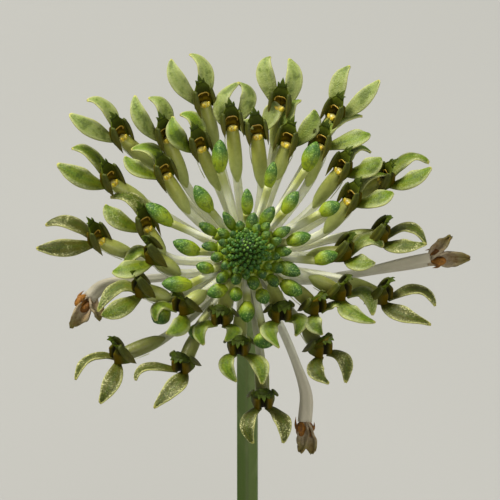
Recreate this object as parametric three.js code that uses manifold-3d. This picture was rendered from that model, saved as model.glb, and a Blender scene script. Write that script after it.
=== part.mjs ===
// A potted orchid: pot, soil, pseudobulb, two leaves, an arching stem and a head of small flowers.
// Lengths are in millimetres. Z is up and the head leans toward -Y.
import * as THREE from 'three';
import { mergeVertices } from 'three/addons/utils/BufferGeometryUtils.js';
import Module from 'manifold-3d';

const wasm = await Module();
wasm.setup();

// Pot
const POT_HEIGHT = 80;
const POT_TOP_RADIUS = 45;
const POT_BASE_RADIUS = 31;
const POT_WALL = 4.5;
const RIM_HEIGHT = 19;
const RIM_STEP = 2.5;
const FLOOR = 6;
const DRAIN_RADIUS = 4;
const DRAIN_RING = 15;
const GAP = 0.3;

// Soil
const SOIL_LEVEL = 70;
const SOIL_MOUND = 3;
const SOIL_RINGS = 6;
const SOIL_SIDES = 28;

// Pseudobulb and the sheaths above it
const BULB_BOTTOM = 62;
const BULB_TOP = 94;
const BULB_RADIUS = 7.5;
const STEM_RADIUS = 1.6;
const STEM_TOP_RADIUS = 1.15;
const STEM_STRAIGHT = 190;
const STEM_ARCH = 46;
const INNER_SHEATH = 2.35;
const OUTER_SHEATH = 3.45;
const SHEATH_BOTTOM = 94.3;

// Leaves
const LEAF_WIDTH = 50;
const LEAF_THICK = 0.8;
const LEAF_ROWS = 14;
const LEAF_COLS = 8;

// The head: its middle, and the three directions that its flowers are placed along
const HEAD = new THREE.Vector3(0, -38, 268);
const LOOK = THREE.MathUtils.degToRad(48);
const ACROSS = new THREE.Vector3(1, 0, 0);
const RISE = new THREE.Vector3(0, Math.sin(LOOK), Math.cos(LOOK));
const FRONT = new THREE.Vector3(0, -Math.cos(LOOK), Math.sin(LOOK));
const LEAN = THREE.MathUtils.degToRad(8);
const AXIS = FRONT.clone().multiplyScalar(Math.cos(LEAN)).addScaledVector(RISE, Math.sin(LEAN));
const UP = new THREE.Vector3(0, 0, 1);
const RACHIS_LOW = -13;
const RACHIS_HIGH = -4.9;

// Flower
const FINEST = 0.06;
const PEDICEL_RADIUS = 0.5;
const OVARY_RADIUS = 0.62;
const LIP_THICK = 0.6;
// Half of the lip, row by row from its foot to its teeth: the middle, the pouch and the margin.
// Each point is across, outward and up from the column. The foot's margin runs back into the horn.
const LIP = [
  [[0, 0.5, -0.5], [0.65, 0.9, -0.5], [1.4, -1.1, -0.6]],
  [[0, 0.75, 0.8], [0.7, 1.2, 0.75], [1.25, 0.05, 0.95]],
  [[0, 1.35, 2.75], [0.4, 1.0, 2.4], [0.66, 0.75, 2.2]],
];
const SEPAL_SHAPE = [0.85, 1.05, 0.7];
const SEPAL_THICK = 0.62;
const BACK_SHAPE = [0.78, 0.74];

// The open flowers. All pairs are across and up from the middle of the head: at = the column,
// left and right = the tips of the lateral sepals, back = the tip of the reflexed dorsal sepal.
const FLOWERS = [
  { at: [-4.3, 14.7], left: [-7.7, 19.3], right: [-5.7, 20.0], back: [-3.2, 10.6] },
  { at: [-1.5, 12.3], left: [-0.9, 17.1], right: [-0.7, 17.1], back: [-1.0, 7.2] },
  { at: [-8.1, 11.1], left: [-11.3, 15.6], right: [-9.9, 15.5], back: [-6.2, 6.6] },
  { at: [-4.7, 10.1], left: [-7.6, 13.5], right: [-6.7, 13.8], back: [-2.9, 6.3] },
  { at: [-12.7, 11.3], left: [-17.9, 13.7], right: [-16.1, 15.4], back: [-9.6, 8.5] },
  { at: [-13.6, 6.7], left: [-19.1, 8.7], right: [-17.6, 10.5], back: [-10.2, 4.6] },
  { at: [-8.2, 7.4], left: [-12.2, 9.5], right: [-11.7, 10.3], back: [-6.0, 3.9] },
  { at: [-10.1, 2.1], left: [-14.2, 4.8], right: [-13.8, 5.6], back: [-8.4, -0.6] },
  { at: [-14.9, 0.8], left: [-21.2, 0.2], right: [-20.4, 2.9], back: [-11.6, -0.6] },
  { at: [-9.2, -0.7], left: [-12.8, -1.8], right: [-13.6, -1.9], back: [-6.9, -2.4] },
  { at: [-10.4, -4.0], left: [-14.8, -6.5], right: [-15.2, -6.1], back: [-7.8, -4.9] },
  { at: [-6.2, -5.6], left: [-8.2, -8.4], right: [-9.4, -7.0], back: [-4.4, -4.4] },
  { at: [-2.5, -6.6], left: [-2.3, -9.1], right: [-4.4, -9.5], back: [-1.7, -3.6] },
  { at: [-0.8, -9.6], left: [1.4, -13.4], right: [-1.2, -13.3], back: [-0.6, -6.2] },
  { at: [-12.6, -10.6], left: [-14.9, -15.4], right: [-17.6, -12.9], back: [-8.6, -9.1] },
  { at: [-6.4, -11.4], left: [-9.5, -15.6], right: [-11.5, -12.7], back: [-5.0, -8.4] },
  { at: [1.6, -15.0], left: [3.7, -19.4], right: [0.5, -19.5], back: [1.4, -11.2] },
  { at: [7.3, -9.8], left: [9.9, -13.3], right: [8.3, -13.3], back: [5.9, -8.0] },
  { at: [3.3, -6.2], left: [4.7, -8.5], right: [3.4, -9.6], back: [2.5, -3.6] },
  { at: [6.7, -5.6], left: [9.7, -6.4], right: [7.7, -8.4], back: [4.6, -3.7] },
  { at: [9.2, -4.2], left: [12.6, -6.5], right: [12.9, -7.0], back: [6.6, -2.9] },
  { at: [13.4, -4.6], left: [19.2, -5.3], right: [18.5, -7.2], back: [10.2, -3.2] },
  { at: [9.5, -0.3], left: [13.7, 0.5], right: [12.9, -1.2], back: [6.4, -0.6] },
  { at: [13.2, 1.4], left: [18.3, 0.8], right: [17.9, 0.9], back: [10.0, 1.3] },
  { at: [13.7, 6.9], left: [18.5, 9.3], right: [18.5, 8.4], back: [10.6, 4.9] },
  { at: [10.3, 4.8], left: [14.2, 7.6], right: [14.7, 6.0], back: [8.0, 1.9] },
  { at: [9.4, 7.9], left: [12.6, 10.2], right: [13.5, 9.5], back: [6.9, 4.5] },
  { at: [7.4, 10.4], left: [11.6, 13.9], right: [12.3, 12.1], back: [6.2, 6.7] },
  { at: [4.0, 10.6], left: [5.2, 15.4], right: [7.0, 14.2], back: [3.1, 7.4] },
  { at: [3.3, 14.3], left: [2.1, 19.8], right: [4.3, 19.5], back: [2.8, 10.4] },
  { at: [1.0, 11.4], left: [1.1, 13.2], right: [2.4, 15.1], back: [1.5, 6.6] },
  { at: [8.7, 13.4], left: [10.3, 18.7], right: [13.3, 17.2], back: [6.8, 10.0] },
];

// The buds on stalks: base and tip, the width of the bud,
// and how far it stands before or behind its neighbours.
const BUDS = [
  { base: [-2.7, 7.7], tip: [-2.7, 11.0], wide: 1.6 },
  { base: [-3.6, 3.8], tip: [-5.2, 6.4], wide: 1.6 },
  { base: [-7.5, 2.5], tip: [-10.1, 4.6], wide: 1.6 },
  { base: [0.0, 3.4], tip: [0.0, 6.1], wide: 1.2 },
  { base: [-4.7, -0.3], tip: [-7.4, 0.8], wide: 1.5 },
  { base: [3.6, 3.6], tip: [5.1, 5.8], wide: 1.4 },
  { base: [2.1, 6.1], tip: [2.7, 8.8], wide: 1.2 },
  { base: [5.9, 7.9], tip: [7.0, 10.8], wide: 1.7 },
  { base: [7.3, 3.6], tip: [9.3, 4.6], wide: 1.5 },
  { base: [3.9, 0.7], tip: [6.4, 1.4], wide: 1.4 },
  { base: [6.7, -1.2], tip: [9.1, -0.4], wide: 1.4 },
  { base: [3.4, -3.3], tip: [5.5, -4.4], wide: 1.6 },
  { base: [1.2, -4.0], tip: [2.0, -5.4], wide: 1.4 },
  { base: [0.0, -5.2], tip: [0.0, -7.3], wide: 1.6 },
  { base: [-2.0, -3.8], tip: [-4.0, -4.5], wide: 1.4 },
  { base: [-5.5, -3.5], tip: [-8.5, -3.4], wide: 1.6, lift: 1.6 },
  { base: [-3.3, -2.0], tip: [-5.1, -1.6], wide: 1.2 },
  { base: [-1.0, -3.8], tip: [-1.2, -5.2], wide: 1.3 },
  { base: [1.7, -8.4], tip: [1.7, -9.9], wide: 2.2 },
];
// Two more stand behind the flowers at the lower left and grow from the flowers' part of the axis.
const LOW_BUDS = [
  { base: [-8.0, -5.9], tip: [-9.4, -7.3], wide: 2.0, lift: -1.9, root: -7.5 },
  { base: [-4.9, -7.6], tip: [-5.3, -9.0], wide: 1.6, lift: -1.4, root: -6.5 },
];
// The small buds around the dome: the middle of each across and up, its width and its length.
const RING_BUDS = [
  [-4.1, 2.2, 0.95, 1.7], [-1.9, 3.0, 0.9, 1.9], [-0.7, 2.45, 0.8, 0.9], [0.55, 2.9, 1.1, 1.7],
  [1.0, 2.2, 0.75, 0.9], [2.2, 3.5, 1.15, 1.9], [1.9, 2.3, 0.8, 1.1], [1.95, 1.5, 0.7, 0.9],
  [3.65, 1.8, 0.95, 1.7], [3.0, 0.85, 0.8, 1.1], [2.4, 0.25, 0.6, 0.8], [3.8, -0.2, 0.9, 1.5],
  [2.9, -0.7, 0.75, 0.95], [2.15, -0.8, 0.6, 0.7], [3.15, -1.9, 0.95, 1.2], [2.15, -1.7, 0.65, 0.8],
  [4.45, -2.1, 1.3, 2.1], [2.7, -3.25, 0.95, 1.3], [1.55, -2.55, 0.8, 0.9], [0.65, -3.5, 1.1, 1.2],
  [-0.1, -2.65, 0.75, 0.85], [-1.15, -3.05, 0.95, 1.1], [-1.15, -2.05, 0.7, 0.85],
  [-2.6, -2.9, 0.95, 1.25], [-2.2, -1.65, 0.8, 0.95], [-3.15, -0.8, 0.9, 1.1], [-2.25, -0.2, 0.65, 0.8],
  [-2.45, 0.7, 0.75, 0.95], [-3.9, 0.3, 0.85, 1.4], [-2.45, 1.65, 0.85, 1.2], [-1.35, 1.55, 0.65, 0.8],
  [-1.7, 0.9, 0.55, 0.65], [-0.1, 1.9, 0.6, 0.7],
];
// How far forward they stand, by their distance from the middle.
const RING_DEPTH = [[0, 3.2], [2.0, 2.1], [2.5, 1.5], [3.1, 0.9], [3.8, 0.45], [5.2, 0.1]];
const TINY_BUDS = 21;
const CROWN_LOW = -4.55;
const CROWN_HIGH = 4.6;
const CROWN_RADIUS = 1.6;

// The withered flowers: the way of the long stalk, then the two lobes that are left.
const SPENT = [
  { way: [[5.3, -3.2], [10.3, -2.5], [15.3, -1.3], [18.6, -0.6]], lobes: [[22.0, -0.4], [20.6, 1.1]] },
  { way: [[-8.2, -2.8], [-12.2, -3.4], [-15.0, -4.6], [-16.2, -6.0]], lobes: [[-18.0, -7.9], [-15.2, -7.4]] },
  { way: [[3.6, -8.3], [5.0, -11.6], [6.0, -14.8], [5.9, -17.6]], lobes: [[6.6, -20.9], [5.4, -20.7]] },
];

const vector = (x, y, z) => new THREE.Vector3(x, y, z);

// Closed triangles from points and index triples, without those that have no area.
function solidFrom(points, triangles) {
  const geometry = new THREE.BufferGeometry();
  const places = points.flatMap((p) => [p.x, p.y, p.z]);
  geometry.setAttribute('position', new THREE.Float32BufferAttribute(places, 3));
  geometry.setIndex(triangles.flat());
  return manifoldOf(geometry);
}

function manifoldOf(source) {
  const bare = source.clone();
  bare.deleteAttribute('normal');
  bare.deleteAttribute('uv');
  const merged = mergeVertices(bare, 1e-4);
  const index = merged.index.array;
  const kept = [];
  for (let i = 0; i < index.length; i += 3) {
    const [a, b, c] = [index[i], index[i + 1], index[i + 2]];
    if (a !== b && b !== c && a !== c) {
      kept.push(a, b, c);
    }
  }
  const mesh = new wasm.Mesh({
    numProp: 3,
    vertProperties: new Float32Array(merged.attributes.position.array),
    triVerts: new Uint32Array(kept),
  });
  const made = new wasm.Manifold(mesh);
  if (made.volume() < 0) {
    throw new Error('a closed piece faces inwards');
  }
  return made;
}

function meshOf(name, manifold, colour, roughness) {
  const data = manifold.getMesh();
  const geometry = new THREE.BufferGeometry();
  geometry.setAttribute('position', new THREE.BufferAttribute(new Float32Array(data.vertProperties), 3));
  geometry.setIndex(new THREE.BufferAttribute(new Uint32Array(data.triVerts), 1));
  const material = new THREE.MeshStandardMaterial({ color: colour, roughness, metalness: 0 });
  const mesh = new THREE.Mesh(geometry, material);
  mesh.name = name;
  return mesh;
}

// A solid of revolution about Z from [radius, height] pairs that start and end on the axis.
function turned(profile, sides) {
  const lathe = new THREE.LatheGeometry(profile.map(([r, z]) => new THREE.Vector2(r, z)), sides);
  lathe.rotateX(Math.PI / 2);
  return lathe;
}

// Two unit vectors square to a direction, the first as near as can be to the one given.
function squareTo(direction, near) {
  const side = near.clone().addScaledVector(direction, -near.dot(direction));
  if (side.lengthSq() < 1e-6) {
    side.copy(ACROSS).addScaledVector(direction, -direction.x);
  }
  side.normalize();
  return [side, direction.clone().cross(side).normalize()];
}

// A stalk along a list of points. Each ring has its own radius, and both ends come to a point.
function stalk(path, radii, sides, nose) {
  const points = [];
  const triangles = [];
  let near = FRONT.clone();
  path.forEach((centre, row) => {
    const before = path[Math.max(row - 1, 0)];
    const after = path[Math.min(row + 1, path.length - 1)];
    const way = after.clone().sub(before).normalize();
    const [u, v] = squareTo(way, near);
    near = u;
    for (let side = 0; side < sides; side += 1) {
      const angle = (2 * Math.PI * side) / sides;
      const out = u.clone().multiplyScalar(Math.cos(angle)).addScaledVector(v, Math.sin(angle));
      points.push(centre.clone().addScaledVector(out, radii[row]));
    }
  });
  for (let row = 0; row + 1 < path.length; row += 1) {
    for (let side = 0; side < sides; side += 1) {
      const next = (side + 1) % sides;
      const [a, b] = [row * sides + side, row * sides + next];
      triangles.push([a, b, b + sides], [a, b + sides, a + sides]);
    }
  }
  const last = path.length - 1;
  const first = points.length;
  points.push(path[0].clone().addScaledVector(path[1].clone().sub(path[0]).normalize(), -nose));
  points.push(path[last].clone().addScaledVector(path[last].clone().sub(path[last - 1]).normalize(), nose));
  for (let side = 0; side < sides; side += 1) {
    const next = (side + 1) % sides;
    triangles.push([first, next, side]);
    triangles.push([first + 1, last * sides + side, last * sides + next]);
  }
  return solidFrom(points, triangles);
}

// A small pointed petal. Its sections are lens-shaped, and it follows a bent line from root to tip.
// face is the way its broad side looks, and halves are its half widths between root and tip.
function petal(root, bend, tip, face, halves, thick) {
  const curve = new THREE.QuadraticBezierCurve3(root, bend, tip);
  const rows = halves.length;
  const points = [root.clone()];
  const triangles = [];
  for (let row = 0; row < rows; row += 1) {
    const t = (row + 1) / (rows + 1);
    const way = curve.getTangent(t);
    const [normal, side] = squareTo(way, face);
    const centre = curve.getPoint(t);
    points.push(centre.clone().addScaledVector(side, halves[row]));
    points.push(centre.clone().addScaledVector(normal, thick / 2));
    points.push(centre.clone().addScaledVector(side, -halves[row]));
    points.push(centre.clone().addScaledVector(normal, -thick / 2));
  }
  points.push(tip.clone());
  const end = points.length - 1;
  for (let side = 0; side < 4; side += 1) {
    const next = (side + 1) % 4;
    triangles.push([0, 1 + side, 1 + next]);
    triangles.push([end, end - 4 + next, end - 4 + side]);
    for (let row = 0; row + 1 < rows; row += 1) {
      const [a, b] = [1 + row * 4 + side, 1 + row * 4 + next];
      triangles.push([a, b + 4, b], [a, a + 4, b + 4]);
    }
  }
  return solidFrom(points, triangles);
}

// A sheet with thickness from a grid of points, both faces triangulated alike.
function sheet(grid, thickness) {
  const rows = grid.length;
  const cols = grid[0].length;
  const at = (i, j) => grid[Math.min(Math.max(i, 0), rows - 1)][Math.min(Math.max(j, 0), cols - 1)];
  const upper = [];
  const lower = [];
  for (let i = 0; i < rows; i += 1) {
    for (let j = 0; j < cols; j += 1) {
      const along = at(i + 1, j).clone().sub(at(i - 1, j));
      const across = at(i, j + 1).clone().sub(at(i, j - 1));
      const normal = along.cross(across).normalize();
      const half = thickness(i / (rows - 1), j / (cols - 1)) / 2;
      upper.push(at(i, j).clone().addScaledVector(normal, half));
      lower.push(at(i, j).clone().addScaledVector(normal, -half));
    }
  }
  const count = rows * cols;
  const triangles = [];
  for (let i = 0; i + 1 < rows; i += 1) {
    for (let j = 0; j + 1 < cols; j += 1) {
      const a = i * cols + j;
      const [b, c, d] = [a + 1, a + cols, a + cols + 1];
      triangles.push([a, d, b], [a, c, d]);
      triangles.push([count + a, count + b, count + d], [count + a, count + d, count + c]);
    }
  }
  const rim = [];
  for (let j = 0; j + 1 < cols; j += 1) rim.push([j, j + 1]);
  for (let i = 0; i + 1 < rows; i += 1) rim.push([(i + 1) * cols - 1, (i + 2) * cols - 1]);
  for (let j = cols - 1; j > 0; j -= 1) rim.push([(rows - 1) * cols + j, (rows - 1) * cols + j - 1]);
  for (let i = rows - 1; i > 0; i -= 1) rim.push([i * cols, (i - 1) * cols]);
  rim.forEach(([a, b]) => triangles.push([a, b, count + b], [a, count + b, count + a]));
  return solidFrom([...upper, ...lower], triangles);
}

function makePot() {
  const slope = (POT_TOP_RADIUS - RIM_STEP - POT_BASE_RADIUS) / (POT_HEIGHT - RIM_HEIGHT);
  const outer = (z) => POT_BASE_RADIUS + slope * z;
  const rimFoot = POT_HEIGHT - RIM_HEIGHT;
  const body = manifoldOf(turned([
    [0, 0],
    [POT_BASE_RADIUS - 1, 0],
    [POT_BASE_RADIUS, 1],
    [outer(rimFoot), rimFoot],
    [outer(rimFoot) + RIM_STEP - 0.8, rimFoot + 0.3],
    [outer(rimFoot) + RIM_STEP, rimFoot + 1.4],
    [POT_TOP_RADIUS + 1, POT_HEIGHT - 1.4],
    [POT_TOP_RADIUS - 0.2, POT_HEIGHT],
    [POT_TOP_RADIUS - POT_WALL + 0.8, POT_HEIGHT],
    [POT_TOP_RADIUS - POT_WALL - 0.4, POT_HEIGHT - 1.4],
    [outer(FLOOR) - POT_WALL, FLOOR],
    [0, FLOOR],
  ], 40));
  let pot = body;
  for (let hole = 0; hole < 3; hole += 1) {
    const angle = Math.PI / 2 + (2 * Math.PI * hole) / 3;
    const drill = new THREE.CylinderGeometry(DRAIN_RADIUS, DRAIN_RADIUS, 3 * FLOOR, 20);
    drill.rotateX(Math.PI / 2);
    drill.translate(DRAIN_RING * Math.cos(angle), DRAIN_RING * Math.sin(angle), FLOOR / 2);
    pot = pot.subtract(manifoldOf(drill));
  }
  return pot;
}

function potInside(z) {
  const slope = (POT_TOP_RADIUS - RIM_STEP - POT_BASE_RADIUS) / (POT_HEIGHT - RIM_HEIGHT);
  const low = POT_BASE_RADIUS + slope * FLOOR - POT_WALL;
  const high = POT_TOP_RADIUS - POT_WALL - 0.4;
  return low + ((high - low) * (z - FLOOR)) / (POT_HEIGHT - 1.4 - FLOOR);
}

function soilHeight(x, y) {
  const r = Math.hypot(x, y) / POT_TOP_RADIUS;
  const bumps = 0.9 * Math.sin(x * 0.42 + 1.3) * Math.cos(y * 0.37) + 0.7 * Math.sin(x * 0.21 - y * 0.33);
  return SOIL_LEVEL + SOIL_MOUND * (1 - r * r) + bumps * Math.min(1, 6 * (1 - r));
}

const BULB = [
  [0, BULB_BOTTOM],
  [4.2, BULB_BOTTOM + 0.8],
  [6.6, BULB_BOTTOM + 4],
  [BULB_RADIUS, BULB_BOTTOM + 9],
  [6.9, BULB_BOTTOM + 15],
  [5.4, BULB_BOTTOM + 22],
  [3.6, BULB_BOTTOM + 28.5],
  [2.9, BULB_TOP - 0.6],
  [2.4, BULB_TOP],
  [0, BULB_TOP],
];

function makeSoil() {
  const rimRadius = potInside(SOIL_LEVEL) - GAP;
  const profile = [[0, FLOOR + GAP], [potInside(FLOOR + GAP) - GAP, FLOOR + GAP], [rimRadius, SOIL_LEVEL]];
  for (let ring = SOIL_RINGS - 1; ring >= 0; ring -= 1) {
    profile.push([(rimRadius * ring) / SOIL_RINGS, SOIL_LEVEL]);
  }
  const body = turned(profile, SOIL_SIDES);
  const place = body.attributes.position;
  for (let i = 0; i < place.count; i += 1) {
    if (place.getZ(i) > SOIL_LEVEL - 1) {
      place.setZ(i, soilHeight(place.getX(i), place.getY(i)));
    }
  }
  const hole = turned([
    [0, BULB_BOTTOM - GAP],
    ...BULB.slice(1, 6).map(([r, z]) => [r + GAP, z - GAP / 2]),
    [0, BULB_BOTTOM + 22],
  ], 24);
  return manifoldOf(body).subtract(manifoldOf(hole));
}

// A leaf: the sheath wraps the stem, then opens into a folded blade with a few long pleats.
// turn is the side it grows to, and sheath the radius of its wrap.
function makeLeaf(turn, sheath, open, lift, droop) {
  const out = vector(Math.cos(turn), Math.sin(turn), 0);
  const side = vector(-Math.sin(turn), Math.cos(turn), 0);
  const at = (reach, z) => out.clone().multiplyScalar(reach).add(vector(0, 0, z));
  const midrib = new THREE.CatmullRomCurve3([
    at(sheath, SHEATH_BOTTOM),
    at(sheath, SHEATH_BOTTOM + open * 0.5),
    at(sheath + 0.2, SHEATH_BOTTOM + open),
    at(sheath + 7, SHEATH_BOTTOM + open + 13),
    at(sheath + 28, SHEATH_BOTTOM + open + 13 + lift * 0.62),
    at(sheath + 55, SHEATH_BOTTOM + open + 13 + lift),
    at(sheath + 82, SHEATH_BOTTOM + open + 13 + lift - droop),
  ], false, 'centripetal');
  const length = midrib.getLength();
  const sheathEnd = open / length;
  const grid = [];
  for (let row = 0; row <= LEAF_ROWS; row += 1) {
    const spread = row / LEAF_ROWS;
    const t = Math.pow(spread, 1.25) * 0.35 + spread * 0.65;
    const centre = midrib.getPointAt(t);
    const way = midrib.getTangentAt(t);
    const inward = way.clone().cross(side).normalize();
    const ease = THREE.MathUtils.smoothstep(t, sheathEnd * 0.9, sheathEnd + 0.2);
    const blade = THREE.MathUtils.clamp((t - sheathEnd) / (1 - sheathEnd), 0, 1);
    const shape = Math.pow(Math.sin(Math.PI * Math.pow(blade, 0.86)), 0.8) * (1 - 0.25 * blade);
    const wrapWidth = 2 * sheath * 2.45;
    const width = THREE.MathUtils.lerp(wrapWidth, 0.8 + LEAF_WIDTH * 1.06 * shape, ease);
    const bendRadius = THREE.MathUtils.lerp(1 / sheath, 0.018 + 0.03 * (1 - blade), ease);
    const line = [];
    for (let col = 0; col <= LEAF_COLS; col += 1) {
      const s = (col / LEAF_COLS - 0.5) * width;
      const pleat = 0.9 * ease * shape * Math.cos((4 * Math.PI * col) / LEAF_COLS);
      const edge = Math.pow((2 * Math.abs(s)) / width, 2);
      const wave = 1.1 * ease * shape * edge * Math.sin(12 * blade + 1.7 * Math.sign(s));
      const point = centre.clone();
      point.addScaledVector(side, Math.sin(bendRadius * s) / bendRadius);
      point.addScaledVector(inward, (1 - Math.cos(bendRadius * s)) / bendRadius + pleat + wave);
      line.push(point);
    }
    grid.push(line);
  }
  return sheet(grid, () => LEAF_THICK);
}

// A point of the head from its place across and up, and its depth toward the front.
function headPoint([x, u], depth) {
  return HEAD.clone().addScaledVector(ACROSS, x).addScaledVector(RISE, u).addScaledVector(FRONT, depth);
}

function rachisPoint(depth) {
  return HEAD.clone().addScaledVector(AXIS, depth);
}

const flowerDepth = (reach) => 0.4 - 0.27 * reach;
const attachDepth = (reach) => -5.5 - 0.62 * (reach - 6.3);

function stalkPath(rootDepth, points, depths) {
  const placed = points.map((pair, i) => headPoint(pair, depths[i]));
  const root = rachisPoint(rootDepth);
  const aim = placed[0].clone().sub(root);
  aim.addScaledVector(AXIS, -aim.dot(AXIS)).normalize();
  return [root.clone().addScaledVector(aim, 0.7), ...placed];
}

// One open flower: stalk, three sepals, the hooded lip with its two horns and two pouches, and the column.
function makeFlower({ at, left, right, back }) {
  const reach = Math.hypot(...at);
  const depth = flowerDepth(reach);
  const backReach = Math.hypot(...back);
  const rootDepth = attachDepth(reach);
  const backDepth = THREE.MathUtils.lerp(rootDepth, depth, (backReach - 1) / (reach - 1)) - 0.2;
  const column = headPoint(at, depth);
  const path = stalkPath(rootDepth, [back, at], [backDepth, depth - 0.5]);
  const grow = path[2].clone().sub(path[1]).normalize();
  const away = vector(grow.x, grow.y, 0).normalize();
  const wide = away.clone().cross(UP).normalize();
  const spread = grow.clone().add(away).normalize();
  const lipAt = (w, n, l) => column.clone()
    .addScaledVector(wide, w)
    .addScaledVector(away, n)
    .addScaledVector(UP, l);

  const hinge = lipAt(0, 0.4, -0.3);
  const parts = [stalk([path[0], path[1], hinge], [PEDICEL_RADIUS, OVARY_RADIUS, OVARY_RADIUS], 4, 0.2)];
  const gap = Math.hypot(left[0] - right[0], left[1] - right[1]);
  const bow = THREE.MathUtils.lerp(2.3, 1.25, Math.min(gap / 3.2, 1));
  [left, right].forEach((tipPlace, i) => {
    const lengthSeen = Math.hypot(tipPlace[0] - at[0], tipPlace[1] - at[1]);
    const flat = headPoint(tipPlace, depth);
    const toSide = Math.sign(flat.clone().sub(column).addScaledVector(
      headPoint(i ? left : right, depth).sub(column), -1).dot(wide)) || 1;
    const sideways = wide.clone().multiplyScalar(toSide);
    const tipDepth = depth + lengthSeen * 0.9 * spread.dot(FRONT) + 1.3 * sideways.dot(FRONT);
    const tip = headPoint(tipPlace, tipDepth);
    const foot = lipAt(0.42 * toSide, 0.62, -0.5);
    const face = UP.clone().multiplyScalar(0.96).addScaledVector(sideways, 0.27);
    const bend = foot.clone().lerp(tip, 0.46).addScaledVector(UP, 1.15).addScaledVector(sideways, bow);
    parts.push(petal(foot, bend, tip, face, SEPAL_SHAPE, SEPAL_THICK));
  });

  const above = squareTo(grow, FRONT)[0];
  const backTip = path[1].clone().addScaledVector(above, OVARY_RADIUS + 0.15);
  const backRoot = column.clone().addScaledVector(above, 0.1);
  const backBend = backRoot.clone().lerp(backTip, 0.5).addScaledVector(above, 0.45);
  parts.push(petal(backRoot, backBend, backTip, above, BACK_SHAPE, 0.7));

  const grid = LIP.map((row) => [-2, -1, 0, 1, 2].map((place) => {
    const [w, n, l] = row[Math.abs(place)];
    return lipAt(Math.sign(place) * w, n, l);
  }));
  parts.push(sheet(grid, () => LIP_THICK));
  return parts;
}

function makeBud({ base, tip, wide, lift = 0, root: low = null }) {
  const reach = Math.hypot(...base);
  const depth = 0.9 - 0.16 * reach + lift;
  const rootDepth = low ?? -0.8 - 0.33 * reach;
  const [root, foot, top] = stalkPath(rootDepth, [base, tip], [depth - 0.5, depth]);
  const along = (t) => foot.clone().lerp(top, t);
  const parts = [stalk([root, along(0.3)], [0.34, 0.4], 4, 0.2)];
  const radii = [wide * 0.38, wide * 0.5, wide * 0.36];
  parts.push(stalk([along(0.15), along(0.45), along(0.75)], radii, 5, 0.3 * wide));
  return parts;
}

function makeSpent({ way, lobes }) {
  const depths = [-9.5, -8.8, -8.2, -8.0];
  const path = stalkPath(RACHIS_LOW + 1.2, way, depths);
  const parts = [stalk(path, [0.4, 0.35, 0.35, 0.4, 0.75], 5, 0.5)];
  const end = path[path.length - 1];
  lobes.forEach((lobe, i) => {
    const tip = headPoint(lobe, -8.4 + 0.7 * i);
    const bend = end.clone().lerp(tip, 0.5).addScaledVector(FRONT, 0.8);
    parts.push(petal(end, bend, tip, FRONT, [0.85, 0.95, 0.6], 0.8));
  });
  return parts;
}

function joined(parts) {
  const whole = parts.reduce((sum, part) => sum.add(part)).simplify(FINEST);
  return whole.decompose().reduce((most, piece) => (piece.volume() > most.volume() ? piece : most));
}

function makeHead() {
  const rachis = stalk(
    [rachisPoint(RACHIS_LOW), rachisPoint(-9), rachisPoint(RACHIS_HIGH)],
    [1.2, 1.45, 1.6],
    8,
    0.05,
  );
  const grown = [FLOWERS.flatMap(makeFlower), LOW_BUDS.flatMap(makeBud), SPENT.flatMap(makeSpent)];
  return joined([rachis, ...grown.flat()]);
}

function ringDepth(reach) {
  const next = RING_DEPTH.findIndex(([place]) => place > reach);
  const [[from, low], [to, high]] = [RING_DEPTH[next - 1], RING_DEPTH[next]];
  return THREE.MathUtils.lerp(low, high, (reach - from) / (to - from));
}

// The crown: a cone of tiny buds set by the golden angle, larger ones around it, and the buds on stalks.
function makeCrown() {
  const core = stalk(
    [rachisPoint(CROWN_LOW), rachisPoint(1.6), rachisPoint(3.4), rachisPoint(CROWN_HIGH)],
    [CROWN_RADIUS, CROWN_RADIUS, 1.2, 0.6],
    8,
    0.15,
  );
  const parts = [core];
  const [u, v] = squareTo(AXIS, RISE);
  const outward = (angle) => u.clone().multiplyScalar(Math.cos(angle)).addScaledVector(v, Math.sin(angle));
  for (let i = 0; i < TINY_BUDS; i += 1) {
    const part = (i + 0.5) / TINY_BUDS;
    const angle = i * Math.PI * (3 - Math.sqrt(5));
    const radius = 1.72 * Math.sqrt(part);
    const height = CROWN_HIGH - 3.1 * part * part;
    const way = outward(angle).multiplyScalar(0.35 + 0.7 * part).add(AXIS).normalize();
    const seat = rachisPoint(height - 0.7).addScaledVector(outward(angle), radius);
    seat.addScaledVector(RISE, -0.5 * part);
    const top = seat.clone().addScaledVector(way, 0.75);
    const size = 0.24 + 0.16 * part;
    parts.push(stalk([seat, seat.clone().lerp(top, 0.6)], [size, size], 4, 0.3));
  }
  RING_BUDS.forEach(([x, up, width, length]) => {
    const reach = Math.hypot(x, up);
    const middle = headPoint([x, up], ringDepth(reach));
    const heart = rachisPoint(middle.clone().sub(HEAD).dot(AXIS) - 0.5 - 0.25 * reach);
    const out = middle.clone().sub(heart).addScaledVector(AXIS, 0.25).normalize();
    const low = middle.clone().addScaledVector(out, -0.5 * length);
    const high = middle.clone().addScaledVector(out, 0.25 * length);
    const foot = heart.clone().addScaledVector(low.clone().sub(heart).normalize(), 1.0);
    parts.push(stalk([foot, low, high], [0.34, width * 0.5, width * 0.46], 4, length * 0.25));
  });
  return joined([...parts, ...BUDS.flatMap(makeBud)]);
}

function makeStem() {
  const end = rachisPoint(RACHIS_LOW - 0.45);
  const line = new THREE.CubicBezierCurve3(
    vector(0, 0, BULB_TOP + GAP),
    vector(0, 0, STEM_STRAIGHT),
    end.clone().addScaledVector(AXIS, -STEM_ARCH),
    end,
  );
  const steps = 16;
  const path = [];
  const radii = [];
  for (let step = 0; step <= steps; step += 1) {
    path.push(line.getPoint(step / steps));
    radii.push(THREE.MathUtils.lerp(STEM_RADIUS, STEM_TOP_RADIUS, step / steps));
  }
  return stalk(path, radii, 6, 0.02);
}

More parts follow.
